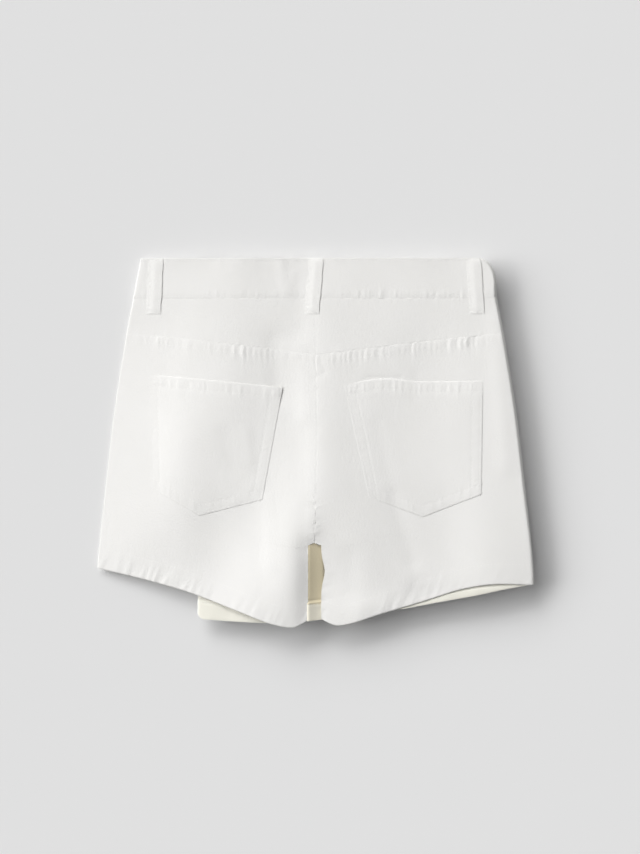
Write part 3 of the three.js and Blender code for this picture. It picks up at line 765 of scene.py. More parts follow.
def shell(name, outer, inner, outside, inside):
    """A closed wall between two grids of points that face each other, with a rounded rim."""
    rows, columns, _ = outer.shape
    count = rows * columns
    index = np.arange(count).reshape(rows, columns)
    near, far = index[:-1, :-1], index[1:, 1:]
    face = np.stack([near, index[:-1, 1:], far, index[1:, :-1]], -1).reshape(-1, 4)
    border = loop_round(index[..., None])[:, 0]
    top, foot = loop_round(outer), loop_round(inner)
    middle, half = (top + foot) / 2, (top - foot) / 2
    thick = np.linalg.norm(half, axis=-1, keepdims=True)
    ways = border_ways((outer + inner) / 2)
    ways -= half * (np.sum(ways * half, -1, keepdims=True) / thick**2)
    ways /= np.linalg.norm(ways, axis=-1, keepdims=True)
    rings = [middle + half * np.sin(turn) + ways * thick * np.cos(turn) for turn in RIM_TURNS]
    points = np.concatenate([outer.reshape(-1, 3), inner.reshape(-1, 3), *rings])
    around = len(border)
    loops = [border]
    loops += [2 * count + k * around + np.arange(around) for k in range(len(rings))]
    loops += [count + border]
    rim = [
        np.stack([first, second, np.roll(second, -1), np.roll(first, -1)], -1)
        for first, second in zip(loops[:-1], loops[1:])
    ]
    quads = np.concatenate([face, count + face[:, ::-1], *rim])
    inner_faces = np.zeros(len(quads), bool)
    inner_faces[len(face) : 2 * len(face)] = True
    flat = np.stack([lengths(outer, 1), -lengths(outer, 0)], -1)
    flat_border = loop_round(flat)
    uv = np.concatenate([flat.reshape(-1, 2), flat.reshape(-1, 2), *[flat_border] * len(rings)])
    return make_mesh(name, points, quads, uv, inner_faces, outside, inside)


# %% [markdown]
# ## Puckers
# Thread draws cloth up, so a sewn line is flanked by short puckers, uneven in spacing, length and depth.
# They are placed one by one from a seeded generator. A noise texture would give puckers that ignore the
# seam; these begin on the stitches and fade away from them.


# %% Puckers
# Of each sewn line: height, seed, and of its puckers the spacing, half width, reach and slant.
PUCKERS = {
    "leg hem": (0.28, 11, 6.4, 1.7, 14, 0.45),
    "yoke seam": (0.22, 21, 4.6, 1.2, 6.5, 0.12),
    "seat seam": (0.18, 31, 5.2, 1.6, 8, 0.3),
    "yoke foot": (0.14, 41, 4.6, 1.3, 5, 0),
    "yoke top": (0.14, 51, 6.0, 1.6, 6, 0),
    "front hem": (0.15, 61, 9, 3.0, 15, 0.4),
    "skirt hem": (0.2, 71, 10, 3.0, 16, 0.4),
    "waistband foot": (0.2, 81, 4.2, 1.0, 4.0, 0),
    "waistband top": (0.1, 82, 9.0, 2.2, 5, 0),
    "pocket inner": (0.08, 91, 4.2, 1.2, 4, 0),
    "pocket outer": (0.08, 92, 5.2, 1.2, 4, 0),
    "pocket mouth": (0.16, 93, 4.6, 1.3, 5, 0),
    "pocket foot": (0.11, 95, 5.2, 1.4, 5, 0),
}
# How far single puckers stray from those sizes, as shares of them.
STRAY = {"place": (-0.38, 0.38), "rise": (0.25, 1.0), "reach": (0.55, 1.3), "width": (0.7, 1.25),
         "slant": (0.6, 1.4)}
# Where the puckers are strong. Their share all along is plain. A run adds a share from its start, grown
# over a length, to its stop, faded over a length. A spot adds a share at its middle, with half a width.
STRENGTHS = {
    "left hem": {"plain": 0.5, "runs": [(0.9, -190, 20, -92, 30)], "spots": []},
    "right hem": {"plain": 0.3, "runs": [(0.35, 50, 20, 110, 30)], "spots": []},
    "yoke": {
        "plain": 0.5,
        "runs": [(0.7, 6, 12, 154, 8)],
        "spots": [(1.2, -138, 11), (1.2, -66, 24), (0.4, 135, 14)],
    },
    "seat": {"plain": 0.25, "runs": [(0.75, -200, 1, -20, 30)], "spots": []},
    "waist": {"plain": 0.4, "runs": [(0.6, 10, 30, 155, 20), (0.3, -115, 20, -25, 20)], "spots": []},
}


def strength_at(seam, along):
    strength = STRENGTHS[seam]
    total = np.full_like(along, strength["plain"])
    for share, start, in_over, stop, out_over in strength["runs"]:
        total += share * ease((along - start) / in_over) * ease((stop - along) / out_over)
    for share, middle, half in strength["spots"]:
        total += share * bell(along - middle, half)
    return total


def puckers(line, along, off, strength=None, more_seed=0):
    """Ripples: along is the place on the sewn line, off the distance from it."""
    height, seed, pitch, width, reach, slant = PUCKERS[line]
    rng = np.random.default_rng(seed + more_seed)
    low, high = float(along.min()), float(along.max())
    count = int((high - low) / pitch) + 2
    places = low + pitch * (np.arange(count) + rng.uniform(*STRAY["place"], count))
    rises = rng.uniform(*STRAY["rise"], count) * rng.choice([1.0, 1.0, -0.8], count)
    reaches = reach * rng.uniform(*STRAY["reach"], count)
    widths = width * rng.uniform(*STRAY["width"], count)
    leans = slant * rng.uniform(*STRAY["slant"], count)
    total = np.zeros_like(along)
    for place, rise, length, half, lean in zip(places, rises, reaches, widths, leans):
        total += rise * bell(along - place - lean * off, half) * bell(off, length)
    if strength:
        total *= strength_at(strength, along)
    return height * total


TUCK_DEPTH = 0.45  # how far an edge dips where its neighbour is felled over it


def folded(distance, depth, soft):
    """1 from an edge to a depth, falling to 0 over a soft step: where cloth is turned under."""
    return ease((depth - distance) / soft + 0.5)


def tucked_under(distance):
    return TUCK_DEPTH * (1 - ease(distance / LAP))


def pressed(distance, at, width=1.3):
    """A narrow groove at a distance from an edge, where a row of stitches is pulled in."""
    return bell(distance - at, width)


print("sewn lines with puckers:", len(PUCKERS))


# %% [markdown]
# ## Materials
# Bleached cotton twill with a little elastane is matt, nearly white and faintly warm. Its face shows fine
# diagonal ribs, and short fibres give it a soft sheen at a glancing angle. Real ribs are about 0.7 mm
# apart, close to what the eye can part here, and they are drawn at their size with a low bump.

# %% Twill
TWILL_RIB = 0.75  # millimetres between diagonal ribs
RIBS_IN_WAVE = 2 * math.pi / 20  # Blender's wave texture has one band in this many units
RIB_TURN = math.radians(63)  # of the ribs from the thread's way
RIB_HEIGHT = 0.08 * MM
SLUB_HEIGHT = 0.25 * MM
# Noise features in a metre: slubs of about 2 mm, and patches of the bleach of about 45 mm.
SLUB_SCALE = 520.0
BLEACH_SCALE = 22.0


def cloth_material(name, colour, shade, rib, bump, sheen, gap_shade=None):
    """Woven cotton: a fine diagonal rib, slubs in the yarn, and a faint unevenness of the bleach. Its last
    argument gives a stripe of painted shade, warmed as by light bounced between white cloth: its colour,
    its middle, half its width, its foot, how softly that ends, and how far it fades there."""
    material, tree = new_material(name)
    cloth = add(tree, "ShaderNodeUVMap", uv_map="cloth")
    scale = [RIBS_IN_WAVE / (rib * MM)] * 3
    turned = add(tree, "ShaderNodeMapping", {"Vector": cloth, "Rotation": (0, 0, RIB_TURN), "Scale": scale})
    ribs = add(
        tree,
        "ShaderNodeTexWave",
        {"Vector": turned, "Scale": 1.0, "Distortion": 1.2, "Detail": 2.0, "Detail Scale": 1.6},
        bands_direction="X",
    )
    slubs = add(tree, "ShaderNodeTexNoise", {"Vector": cloth, "Scale": SLUB_SCALE, "Detail": 4.0})
    bleach = add(tree, "ShaderNodeTexNoise", {"Vector": cloth, "Scale": BLEACH_SCALE, "Detail": 3.0})
    tones = {"Factor": bleach, "A": srgb(colour), "B": srgb(shade)}
    tone = add(tree, "ShaderNodeMix", tones, data_type="RGBA")
    if gap_shade:
        # A stripe of painted shade, warmed as by bounced light: darker and creamier in a narrow band round
        # the middle, paler below its foot.
        gap_shade_colour, middle, half, foot, soft, fade = gap_shade
        half *= MM
        place = add(tree, "ShaderNodeTexCoord")
        split = add(tree, "ShaderNodeSeparateXYZ", {"Vector": place.outputs["Object"]})
        aside = add(tree, "ShaderNodeMath", {0: split.outputs["X"], 1: middle * MM}, operation="SUBTRACT")
        away = add(tree, "ShaderNodeMath", {0: aside}, operation="ABSOLUTE")
        beside = add(tree, "ShaderNodeMapRange", {"Value": away, "From Min": half, "From Max": half * 2})
        down = {"From Min": foot * MM, "From Max": (foot - soft) * MM, "To Max": fade}
        below = add(tree, "ShaderNodeMapRange", {"Value": split.outputs["Y"], **down})
        plain = add(tree, "ShaderNodeMath", {0: beside, 1: below}, operation="MAXIMUM")
        gap_shaded = {"Factor": plain, "A": srgb(gap_shade_colour), "B": tone.outputs["Result"]}
        tone = add(tree, "ShaderNodeMix", gap_shaded, data_type="RGBA")
    rib_bump = add(
        tree, "ShaderNodeBump", {"Height": ribs.outputs["Fac"], "Distance": RIB_HEIGHT, "Strength": bump}
    )
    slub_bump = add(
        tree,
        "ShaderNodeBump",
        {"Height": slubs, "Distance": SLUB_HEIGHT, "Strength": bump, "Normal": rib_bump},
    )
    surface = add(
        tree,
        "ShaderNodeBsdfPrincipled",
        {
            "Base Color": tone.outputs["Result"],
            "Roughness": 0.9,
            "Specular IOR Level": 0.25,
            "Sheen Weight": sheen,
            "Sheen Roughness": 0.45,
            "Normal": slub_bump,
        },
    )
    add(tree, "ShaderNodeOutputMaterial", {"Surface": surface})
    print("cloth:", name, colour)
    return material


# The face of the twill: bleached white, a touch warm.
bleached_twill = cloth_material("bleached_twill", "#EBEAE8", "#E8E7E4", TWILL_RIB, 0.5, 0.08)
# Its back: less bleached, creamier, with the weft's plain floats and no sheen to speak of.
REVERSE = ("#E8E6DC", "#E5E3D8", TWILL_RIB * 1.2, 0.4, 0.03)
twill_reverse = cloth_material("twill_reverse", *REVERSE)
# The skirt's back, with a stripe of painted shade, warm as from light bounced between white cloth, where it
# shows in the shaded gap between the legs.
GAP_SHADE_STRIPE = ("#DACFB2", CROTCH["x"], 6.5, -144.5, 2.0, 0.7)
skirt_reverse = cloth_material("skirt_reverse", *REVERSE, gap_shade=GAP_SHADE_STRIPE)
# Polyester tape of the zip, woven plain and close.
polyester_tape = cloth_material("polyester_tape", "#EFEDE6", "#ECEAE2", 0.5, 0.3, 0.05)


# %% Thread and metal
# Spun polyester sewing thread: whiter than the cloth, smooth enough for a soft highlight.
THREAD_COLOUR = "#F4F3F1"
TWIST_SCALE = 2600.0  # of the yarn's twist, about 0.4 mm
sewing_thread, thread_tree = new_material("sewing_thread")
thread_place = add(thread_tree, "ShaderNodeTexCoord")
twist = add(
    thread_tree,
    "ShaderNodeTexNoise",
    {"Vector": thread_place.outputs["Object"], "Scale": TWIST_SCALE, "Detail": 2.0},
)
twist_bump = add(thread_tree, "ShaderNodeBump", {"Height": twist, "Distance": 0.06 * MM, "Strength": 0.5})
thread_looks = {"Base Color": srgb(THREAD_COLOUR), "Roughness": 0.62, "Specular IOR Level": 0.35}
thread_surface = add(thread_tree, "ShaderNodeBsdfPrincipled", {**thread_looks, "Normal": twist_bump})
add(thread_tree, "ShaderNodeOutputMaterial", {"Surface": thread_surface})

# Satin nickel plate on a pressed brass button: fine scratches from tumbling blur its reflections.
NICKEL_COLOUR = "#B9B7B2"
SCRATCH_SCALE = 3500.0
satin_nickel, nickel_tree = new_material("satin_nickel")
nickel_place = add(nickel_tree, "ShaderNodeTexCoord")
scratches = add(
    nickel_tree,
    "ShaderNodeTexNoise",
    {"Vector": nickel_place.outputs["Object"], "Scale": SCRATCH_SCALE, "Detail": 5.0},
)
rough = add(nickel_tree, "ShaderNodeMapRange", {"Value": scratches, "To Min": 0.26, "To Max": 0.42})
scratch_sizes = {"Height": scratches, "Distance": 0.02 * MM, "Strength": 0.4}
nickel_bump = add(nickel_tree, "ShaderNodeBump", scratch_sizes)
nickel_looks = {"Base Color": srgb(NICKEL_COLOUR), "Metallic": 1.0, "Roughness": rough}
nickel_surface = add(nickel_tree, "ShaderNodeBsdfPrincipled", {**nickel_looks, "Normal": nickel_bump})
add(nickel_tree, "ShaderNodeOutputMaterial", {"Surface": nickel_surface})
print("thread and metal:", THREAD_COLOUR, NICKEL_COLOUR)

# %% [markdown]
# ## Stitches
# A lockstitch shows as a row of short threads with the needle holes between them. Geometry Nodes make
# them: a line drawn on the cloth is cut into steps, one small capsule is set on each step and turned
# along the line, and the copies are made real. Modelling one row by hand and arraying it would not
# follow the folds. A bar tack is the same tree with its threads turned across the line.

# %% Stitch tree
STITCH = {"pitch": 3.1, "length": 2.3, "thread": 0.3}
TACK = {"pitch": 0.5, "length": 1.8, "thread": 0.28}

stitch_tree = bpy.data.node_groups.new("stitch_row", "GeometryNodeTree")
stitch_tree.interface.new_socket("Geometry", in_out="INPUT", socket_type="NodeSocketGeometry")
stitch_sockets = {}
for label, kind in {
    "Pitch": "NodeSocketFloat",
    "Thread length": "NodeSocketFloat",
    "Thread width": "NodeSocketFloat",
    "Turn": "NodeSocketFloat",
    "Thread": "NodeSocketMaterial",
}.items():
    socket = stitch_tree.interface.new_socket(label, in_out="INPUT", socket_type=kind)
    stitch_sockets[label] = socket.identifier
stitch_tree.interface.new_socket("Geometry", in_out="OUTPUT", socket_type="NodeSocketGeometry")

row_in = add(stitch_tree, "NodeGroupInput")
asked = row_in.outputs
row_line = add(stitch_tree, "GeometryNodeMeshToCurve", {"Mesh": asked["Geometry"]})
row_sizes = {"Curve": row_line, "Length": asked["Pitch"]}
row_steps = add(stitch_tree, "GeometryNodeResampleCurve", row_sizes, mode="LENGTH")
tangent = add(stitch_tree, "GeometryNodeInputTangent")
facing = add(stitch_tree, "FunctionNodeAlignRotationToVector", {"Vector": tangent}, axis="X")
turn = add(stitch_tree, "ShaderNodeCombineXYZ", {"Z": asked["Turn"]})
turn_rotation = add(stitch_tree, "FunctionNodeEulerToRotation", {"Euler": turn})
both_turns = {"Rotation": facing, "Rotate By": turn_rotation}
turned_thread = add(stitch_tree, "FunctionNodeRotateRotation", both_turns, rotation_space="LOCAL")
ball = add(stitch_tree, "GeometryNodeMeshUVSphere", {"Segments": 6, "Rings": 4, "Radius": 0.5})
thick, long = asked["Thread width"], asked["Thread length"]
size = add(stitch_tree, "ShaderNodeCombineXYZ", {"X": long, "Y": thick, "Z": thick})
thread_shape = add(stitch_tree, "GeometryNodeTransform", {"Geometry": ball, "Scale": size})
copies = {"Points": row_steps, "Instance": thread_shape, "Rotation": turned_thread}
placed = add(stitch_tree, "GeometryNodeInstanceOnPoints", copies)
real = add(stitch_tree, "GeometryNodeRealizeInstances", {"Geometry": placed})
smooth = add(stitch_tree, "GeometryNodeSetShadeSmooth", {"Geometry": real})
dressed = add(stitch_tree, "GeometryNodeSetMaterial", {"Geometry": smooth, "Material": asked["Thread"]})
add(stitch_tree, "NodeGroupOutput", {"Geometry": dressed})
print("stitch tree:", len(stitch_tree.nodes), "nodes")


# %% Sewing
ACROSS = math.pi / 2  # the turn of a thread that lies across its line


def stitch_mesh(lines, kind, turn=0.0):
    """A mesh of threads along each of some lines, which are lists of points in millimetres."""
    points, edges = [], []
    for line in lines:
        first = len(points)
        points += [tuple(p * MM) for p in np.asarray(line, float)]
        edges += [(i, i + 1) for i in range(first, len(points) - 1)]
    drawn = bpy.data.meshes.new("drawn_lines")
    drawn.from_pydata(points, edges, [])
    guide = put("drawn_lines", drawn)
    modifier = guide.modifiers.new("stitches", "NODES")
    modifier.node_group = stitch_tree
    sizes = {"Pitch": kind["pitch"], "Thread length": kind["length"], "Thread width": kind["thread"]}
    for label, length in sizes.items():
        modifier[stitch_sockets[label]] = length * MM
    modifier[stitch_sockets["Turn"]] = turn
    modifier[stitch_sockets["Thread"]] = sewing_thread
    graph = bpy.context.evaluated_depsgraph_get()
    made = bpy.data.meshes.new_from_object(guide.evaluated_get(graph))
    bpy.data.objects.remove(guide)
    bpy.data.meshes.remove(drawn)
    return made


def sew(name, rows, tacks=()):
    """One piece of all the stitching on a part of the garment."""
    parts = [stitch_mesh(rows, STITCH)]
    if tacks:
        parts.append(stitch_mesh(tacks, TACK, ACROSS))
    points, faces = [], []
    for part in parts:
        first = len(points)
        points += [tuple(v.co) for v in part.vertices]
        faces += [[first + i for i in face.vertices] for face in part.polygons]
    piece = mesh_piece(name, points, faces, sewing_thread)
    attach(piece, "root")
    print(f"{name}: {sum(len(f) - 2 for f in faces)} triangles of thread")


def dress(node, outer, inner, outside=bleached_twill, inside=twill_reverse):
    """A cloth piece for a CAD node: the shell, which hides the node it stands for, and how far it grows
    past the node's box.
    """
    piece = shell(f"{node}_cloth", outer, inner, outside, inside)
    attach(piece, "root")
    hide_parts(node)
    low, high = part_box(node)
    new_low, new_high = outer.reshape(-1, 3).min(0), outer.reshape(-1, 3).max(0)
    grown = [*(np.array(low) / MM - new_low), *(new_high - np.array(high) / MM)]
    print(" ".join(f"{v:.1f}" for v in grown))


# %% [markdown]
# ## Back panels
# The two back panels show most. Each is cut from one piece of twill. Its top edge is felled over the
# yoke, the left one's seat edge is felled over the right one, and its hem is turned up twice, 19 mm deep.
# A felled edge is three plies thick for about 8 mm, pressed nearly flat under two rows of stitches. The
# hem's stitching pulls the turned cloth askew, which gives the slanted rope marks along a jeans hem.
# A Displace modifier could draw these marks from a picture, but they wouldn't begin at the sewn lines.

# %% Sewing sizes
FELL = {"width": 8.5, "rise": 0.03, "soft": 3.0, "edge": 2.5, "rows": (1.8, 7.6)}
LEG_HEM = {"depth": 19.0, "rise": 0.07, "soft": 5.0, "crisp": 0.8, "row": 17.6, "turn": 0.2}
EDGE_EASE = 3.0  # over which a piece's relief grows from an edge that is joined to a neighbour
LEG_HEM_ROPE = {"to": 24.0, "over": 6.0}  # how far up from the hem its rope marks end
PUCKER_LINE = {"yoke": 5.5, "waist": 4.0, "pocket": 5.0, "mouth": 6.0}  # where puckers are deepest
# How deep the rows of stitches are pulled in.
ROW_SINK = {"fell": 0.02, "hem": 0.04, "waist": 0.05, "pocket": 0.06, "skirt": 0.18}
THREAD_SEAT = -0.08  # of a thread's middle off the cloth: sunk in, so that only its top shows
print("hem's depth, mm:", LEG_HEM["depth"], "and felled seams' width:", FELL["width"])


# %% Back panels
def back_panel(side, sign):
    node, layer = f"back_{side}", LAYERS["back"]
    x, y, points, normals, off = laid(layer, leg_plan(sign, layer, node, yoke_foot, FINE))
    seat = above_crotch(y)
    fell = folded(off["top"], FELL["width"], FELL["soft"])
    if side == "left":
        fell = np.maximum(fell, folded(off["inner"], FELL["width"], FELL["soft"]) * seat)
    rise = FELL["rise"] * fell * ease(off["top"] / FELL["edge"])
    if side == "left":
        rise *= mix(1, ease(off["inner"] / FELL["edge"]), seat)
    else:
        rise -= tucked_under(off["inner"]) * seat
    rise -= ROW_SINK["fell"] * sum(pressed(off["top"], row) for row in FELL["rows"])
    rise += LEG_HEM["rise"] * folded(off["bottom"], LEG_HEM["depth"], LEG_HEM["soft"])
    rise -= ROW_SINK["hem"] * pressed(off["bottom"], LEG_HEM["row"])
    rope = ease((LEG_HEM_ROPE["to"] - off["bottom"]) / LEG_HEM_ROPE["over"])
    rise += puckers("leg hem", x, off["bottom"], f"{side} hem", sign) * rope
    rise += puckers("yoke seam", x, np.abs(off["top"] - PUCKER_LINE["yoke"]), "yoke", sign)
    rise += puckers("seat seam", y, off["inner"], "seat", sign)
    hem_wall = CLOTH + LEG_HEM["turn"] * folded(off["bottom"], LEG_HEM["depth"], LEG_HEM["crisp"])
    wall = pressed_thin(hem_wall, np.minimum.reduce([off["top"], off["outer"], off["inner"]]))
    outer = points + normals * rise[..., None]
    inner = points - normals * (wall - rise * ease(1 - off["top"] / EDGE_EASE))[..., None]
    dress(node, outer, inner)
    return {"y": y, "face": outer, "out": normals, "off": off}


backs = {side: back_panel(side, sign) for side, sign in SIDES.items()}

# %% [markdown]
# ## Yokes
# The yoke is the band of cloth between the waistband and the pointed seam. It shapes the seat without
# darts. Its lower edge lies under the fell of the back panel, so it dips there.


# %% Yokes
def yoke(side, sign):
    x, y, points, normals, off = laid(LAYERS["back"], yoke_plan(sign, FINE))
    rise = -tucked_under(off["bottom"]) - tucked_under(off["top"])
    if side == "left":
        lap = folded(off["inner"], FELL["width"], FELL["soft"])
        rise += FELL["rise"] * lap * ease(off["inner"] / FELL["edge"])
    else:
        rise -= tucked_under(off["inner"])
    rise += puckers("yoke foot", x, off["bottom"], "yoke", sign) * ease(off["bottom"] / EDGE_EASE)
    rise += puckers("yoke top", x, off["top"], "waist", sign) * ease(off["top"] / EDGE_EASE)
    wall = pressed_thin(CLOTH, np.minimum.reduce(list(off.values())))
    outer = points + normals * rise[..., None]
    dress(f"yoke_{side}", outer, outer - normals * wall[..., None])
    return {"face": outer, "out": normals, "off": off}


yokes = {side: yoke(side, sign) for side, sign in SIDES.items()}

# %% [markdown]
# ## Front panels and the skirt panel
# Underneath lie the two front panels, which close with a zip, and under them the skirt panel, which
# wraps from the right side seam to its free edge on the left and rests on the table. Its inner face shows
# in the gap between the legs and below the hems, so its turned-up hem and rolled free edge are modelled.

# %% Fronts
UNDER_WALL = 0.8  # of the layers underneath, which are drawn thinner
UNDER_SOFT = 1.0  # over which their turned hems step
SKIRT_HEM = {"depth": 16.5, "turn": 0.5, "soft": 1.4, "row": 14.3, "step": 18.4, "groove": 0.9}
SKIRT_EDGE = {"depth": 9.0, "turn": 0.25}
# The legs press the skirt panel's turned cloth and puckers to these shares of what they are where it is
# free: near its corner, up to this far in from its edge, below this y, and in the gap.
SKIRT_PRESSED = {"turn": 0.45, "puckers": 0.6}
SKIRT_FREE = {"in": 30.0, "over": 10.0, "y": -120.0, "down": 8.0}
SKIRT_CORNER = 6.0  # radius
SKIRT_PITCH = 2.0


def front_panel(side, sign):
    node = f"front_{side}"
    layer = LAYERS[node]
    x, y, points, normals, off = laid(layer, leg_plan(sign, layer, node, under_band, COARSE))
    turn = LEG_HEM["turn"] * folded(off["bottom"], LEG_HEM["depth"], UNDER_SOFT)
    ripple = puckers("front hem", x, off["bottom"], more_seed=sign)
    wall = pressed_thin(UNDER_WALL, np.minimum(off["outer"], off["inner"]))
    inner = points - normals * (wall + turn + np.maximum(0, ripple))[..., None]
    dress(node, points, inner)
    return {"face": points, "out": normals, "off": off}


fronts = {side: front_panel(side, sign) for side, sign in SIDES.items()}


# %% Skirt panel
def round_corner(plan, radius):
    """Rounds the grid's last corner, where the hem meets the free edge."""
    down, across = lengths(plan, 0), lengths(plan, 1)
    below, beside = down[-1:] - down, across[:, -1:] - across
    a = np.clip((radius - beside) / radius, 0, 1)
    b = np.clip((radius - below) / radius, 0, 1)
    inward_x = (a - a * np.sqrt(1 - b * b / 2)) * radius
    inward_y = (b - b * np.sqrt(1 - a * a / 2)) * radius
    rounded = plan.copy()
    rounded[..., 0] += inward_x
    rounded[..., 1] += inward_y
    return rounded


def skirt_panel():
    x, y, points, normals, off = laid(LAYERS["wrap"], round_corner(wrap_plan(SKIRT_PITCH), SKIRT_CORNER))
    turn = SKIRT_HEM["turn"] * folded(off["bottom"], SKIRT_HEM["depth"], SKIRT_HEM["soft"])
    edge_turn = SKIRT_EDGE["turn"] * folded(off["inner"], SKIRT_EDGE["depth"], SKIRT_HEM["soft"])
    ripple = puckers("skirt hem", x, off["bottom"])
    by_edge = ease((wrap_edge_x(y) + SKIRT_FREE["in"] - x) / SKIRT_FREE["over"])
    corner = by_edge * ease((SKIRT_FREE["y"] - y) / SKIRT_FREE["down"])
    free = mix(SKIRT_PRESSED["turn"], 1.0, np.maximum(corner, in_gap(x)))
    swell = np.maximum(turn, edge_turn) * free + np.maximum(0, ripple) * SKIRT_PRESSED["puckers"]
    grooves = sum(pressed(off["bottom"], SKIRT_HEM[line], SKIRT_HEM["groove"]) for line in ("row", "step"))
    swell -= ROW_SINK["skirt"] * grooves
    wall = pressed_thin(UNDER_WALL, np.minimum(off["bottom"], off["inner"]))
    outer = points - normals * (UNDER_WALL - wall)[..., None]
    inner = points - normals * (UNDER_WALL + swell)[..., None]
    dress("skirt_panel", outer, inner, inside=skirt_reverse)
    return {"face": inner, "out": -normals, "off": off}


skirt = skirt_panel()

# %% [markdown]
# ## Waistband
# One folded strip goes round the waist: from its end under the front, round both sides, over the back and
# in under the overlap. Both long edges are folds, held by a row of stitches 2 mm in, and the seam's
# fullness shows as short upright puckers above the lower row.


# %% Waistband sizes
BAND_SHOWS = 0.12  # how far the pressed waistband stands out from the yokes
BAND_ROW = 2.0  # its rows of stitches, in from both edges
BAND_TOP_PUCKERS = 1.5  # below its top edge
BAND_FLAT = 0.3  # the share of its relief on the hidden front
BAND_LINES = 34
# Points along the waistband's front, back and inside front.
BAND_POINTS = {"front": 110, "back": 300, "inside": 80}
LEFT_FOLD = BAND_POINTS["front"] + BAND_POINTS["back"]  # the column where it turns under at the left
FOLD_COLUMNS = 20  # past the left fold, that lie as flat as the back
SOFT_COLUMNS = 25  # over which the band comes to stand out
BAND_CLIMB = {"before": 30.0, "over": 22.0}  # where the underlap climbs over the overlap's end
# The right top corner, where the band is pulled round: x of its outline at falling y.
RIGHT_CORNER = {
    "y": [129.6, 139.0, 146.0, 155.0, 162.5, 166.0],
    "x": [163.4, 163.3, 163.2, 160.8, 155.7, 149.5],
    "from": 125.0,
}
print("waistband's grid:", BAND_LINES, "by", sum(BAND_POINTS.values()))


# %% Waistband
def corner_shift(x, y):
    half = section("half", y)
    moved = through(RIGHT_CORNER["y"], RIGHT_CORNER["x"], y) - half
    return moved * ease((x - RIGHT_CORNER["from"]) / (half - RIGHT_CORNER["from"]))


def underlap_height(x, y):
    climb = ease((x - BAND["overlap_end"] + BAND_CLIMB["before"]) / BAND_CLIMB["over"])
    return front_floor(x, y) + (BAND["wall"] + GAP) * climb


def band_line(y):
    """One line round the waistband, from the overlap's end to the underlap's: its points, its normals and
    which of them are on the back."""
    half = section("half", y)
    left, right = section("roll_left", y), section("roll_right", y)
    underlap = {**LAYERS["wrap"], "height": underlap_height}
    stretches = [
        (LAYERS["wrap"], "front", spread(BAND["overlap_end"], half, 0, section("tuck_right", y), COARSE)),
        (LAYERS["back"], "back", spread(half, -half, right, left, FINE)),
        (underlap, "inside", spread(-half, BAND["underlap_end"], section("tuck_left", y), 0, COARSE)),
    ]
    points, normals, is_back = [], [], []
    for layer, name, places in stretches:
        places = resized(places, BAND_POINTS[name])
        p, n = on_layer(layer, places, np.full_like(places, y))
        points.append(p)
        normals.append(n)
        is_back.append(np.full(len(places), name == "back"))
    return np.concatenate(points), np.concatenate(normals), np.concatenate(is_back)


def waistband():
    lines = [band_line(y) for y in np.linspace(BAND["top"], BAND["seam"], BAND_LINES)]
    points, normals, on_back = (np.stack(parts) for parts in zip(*lines))
    off = edge_distances(points)
    x = points[..., 0]
    shows = on_back[0].astype(float)
    shows[LEFT_FOLD : LEFT_FOLD + FOLD_COLUMNS] = 1
    padded = np.pad(shows, SOFT_COLUMNS // 2, "edge")
    soft = np.convolve(padded, np.ones(SOFT_COLUMNS) / SOFT_COLUMNS, "valid")
    proud = mix(BAND["proud"], BAND_SHOWS, soft)[None]
    rise = puckers("waistband foot", x, np.abs(off["bottom"] - PUCKER_LINE["waist"]), "waist")
    rise += puckers("waistband top", x, off["top"] - BAND_TOP_PUCKERS)
    rise -= ROW_SINK["waist"] * pressed(off["bottom"], BAND_ROW)
    rise -= ROW_SINK["hem"] * pressed(off["top"], BAND_ROW)
    rise = np.where(on_back, rise, BAND_FLAT * rise)
    fold = np.abs(off["outer"] - off["outer"][:, LEFT_FOLD : LEFT_FOLD + 1])
    wall = pressed_thin(BAND["wall"], np.minimum.reduce([off["bottom"], off["top"], fold / 2]))
    points[..., 0] += corner_shift(x, points[..., 1])
    outer = points + normals * (proud * ease(off["bottom"] / EDGE_EASE) + rise)[..., None]
    inner = outer - normals * (wall + rise)[..., None]
    dress("waistband", outer, inner, inside=bleached_twill)
    return {"face": outer, "out": normals, "off": off}


waist = waistband()

# %% [markdown]
# ## Patch pockets
# A patch pocket is one piece with its sides turned under and its mouth hemmed. It is made from the back
# panel's own points, moved out, so it follows the seat. Its edges are sewn down with two rows; its mouth
# isn't, so it gapes a little, more where the cloth is slack.

# %% Pocket sizes
# Each pocket's five corners, and where its mouth gapes (x, y, half width, height) and bows upwards (x,
# half width, height).
POCKETS = {
    "left": {
        "mouth_outer": (-152, 61.5),
        "mouth_inner": (-29, 49.5),
        "low_inner": (-47.5, -51.5),
        "point": (-104, -66),
        "low_outer": (-148, -41),
        "gape": (-35, 51, 9, 0.8),
        "bow": (-60, 20, 0.0),
    },
    "right": {
        "mouth_outer": (151, 55.5),
        "mouth_inner": (26, 52.5),
        "low_inner": (48.5, -49),
        "point": (97, -67),
        "low_outer": (149.5, -46.5),
        "gape": (146, 55, 6, 0.1),
        "bow": (61, 24, 4.0),
    },
}
POCKET_WALL = 0.6
POCKET_GRID = (112, 101)  # points across and down
CORNER_HELD = 1 / 8  # of the mouth's length, next to each corner, where it can't bow
GAPE_DEPTH = 13.0  # how far down from the mouth it gapes
# Its two rows along each sewn edge, the grooves that they pull, and the row of its mouth's hem.
POCKET_ROWS = {"stitches": (1.6, 9.4), "grooves": (1.8, 9.4), "groove": 0.9, "mouth": 9.5}
POCKET_RIDGES = (1.0, 10.6)  # of the right pocket's inner edge, beside its rows
POCKET_SWELL = {"height": 0.2, "over": 30.0}  # from its sewn edges to its middle
MOUTH_ROLL = {"height": 0.04, "over": 2.5, "gape": 0.3}  # how the mouth's fold turns down where it is shut
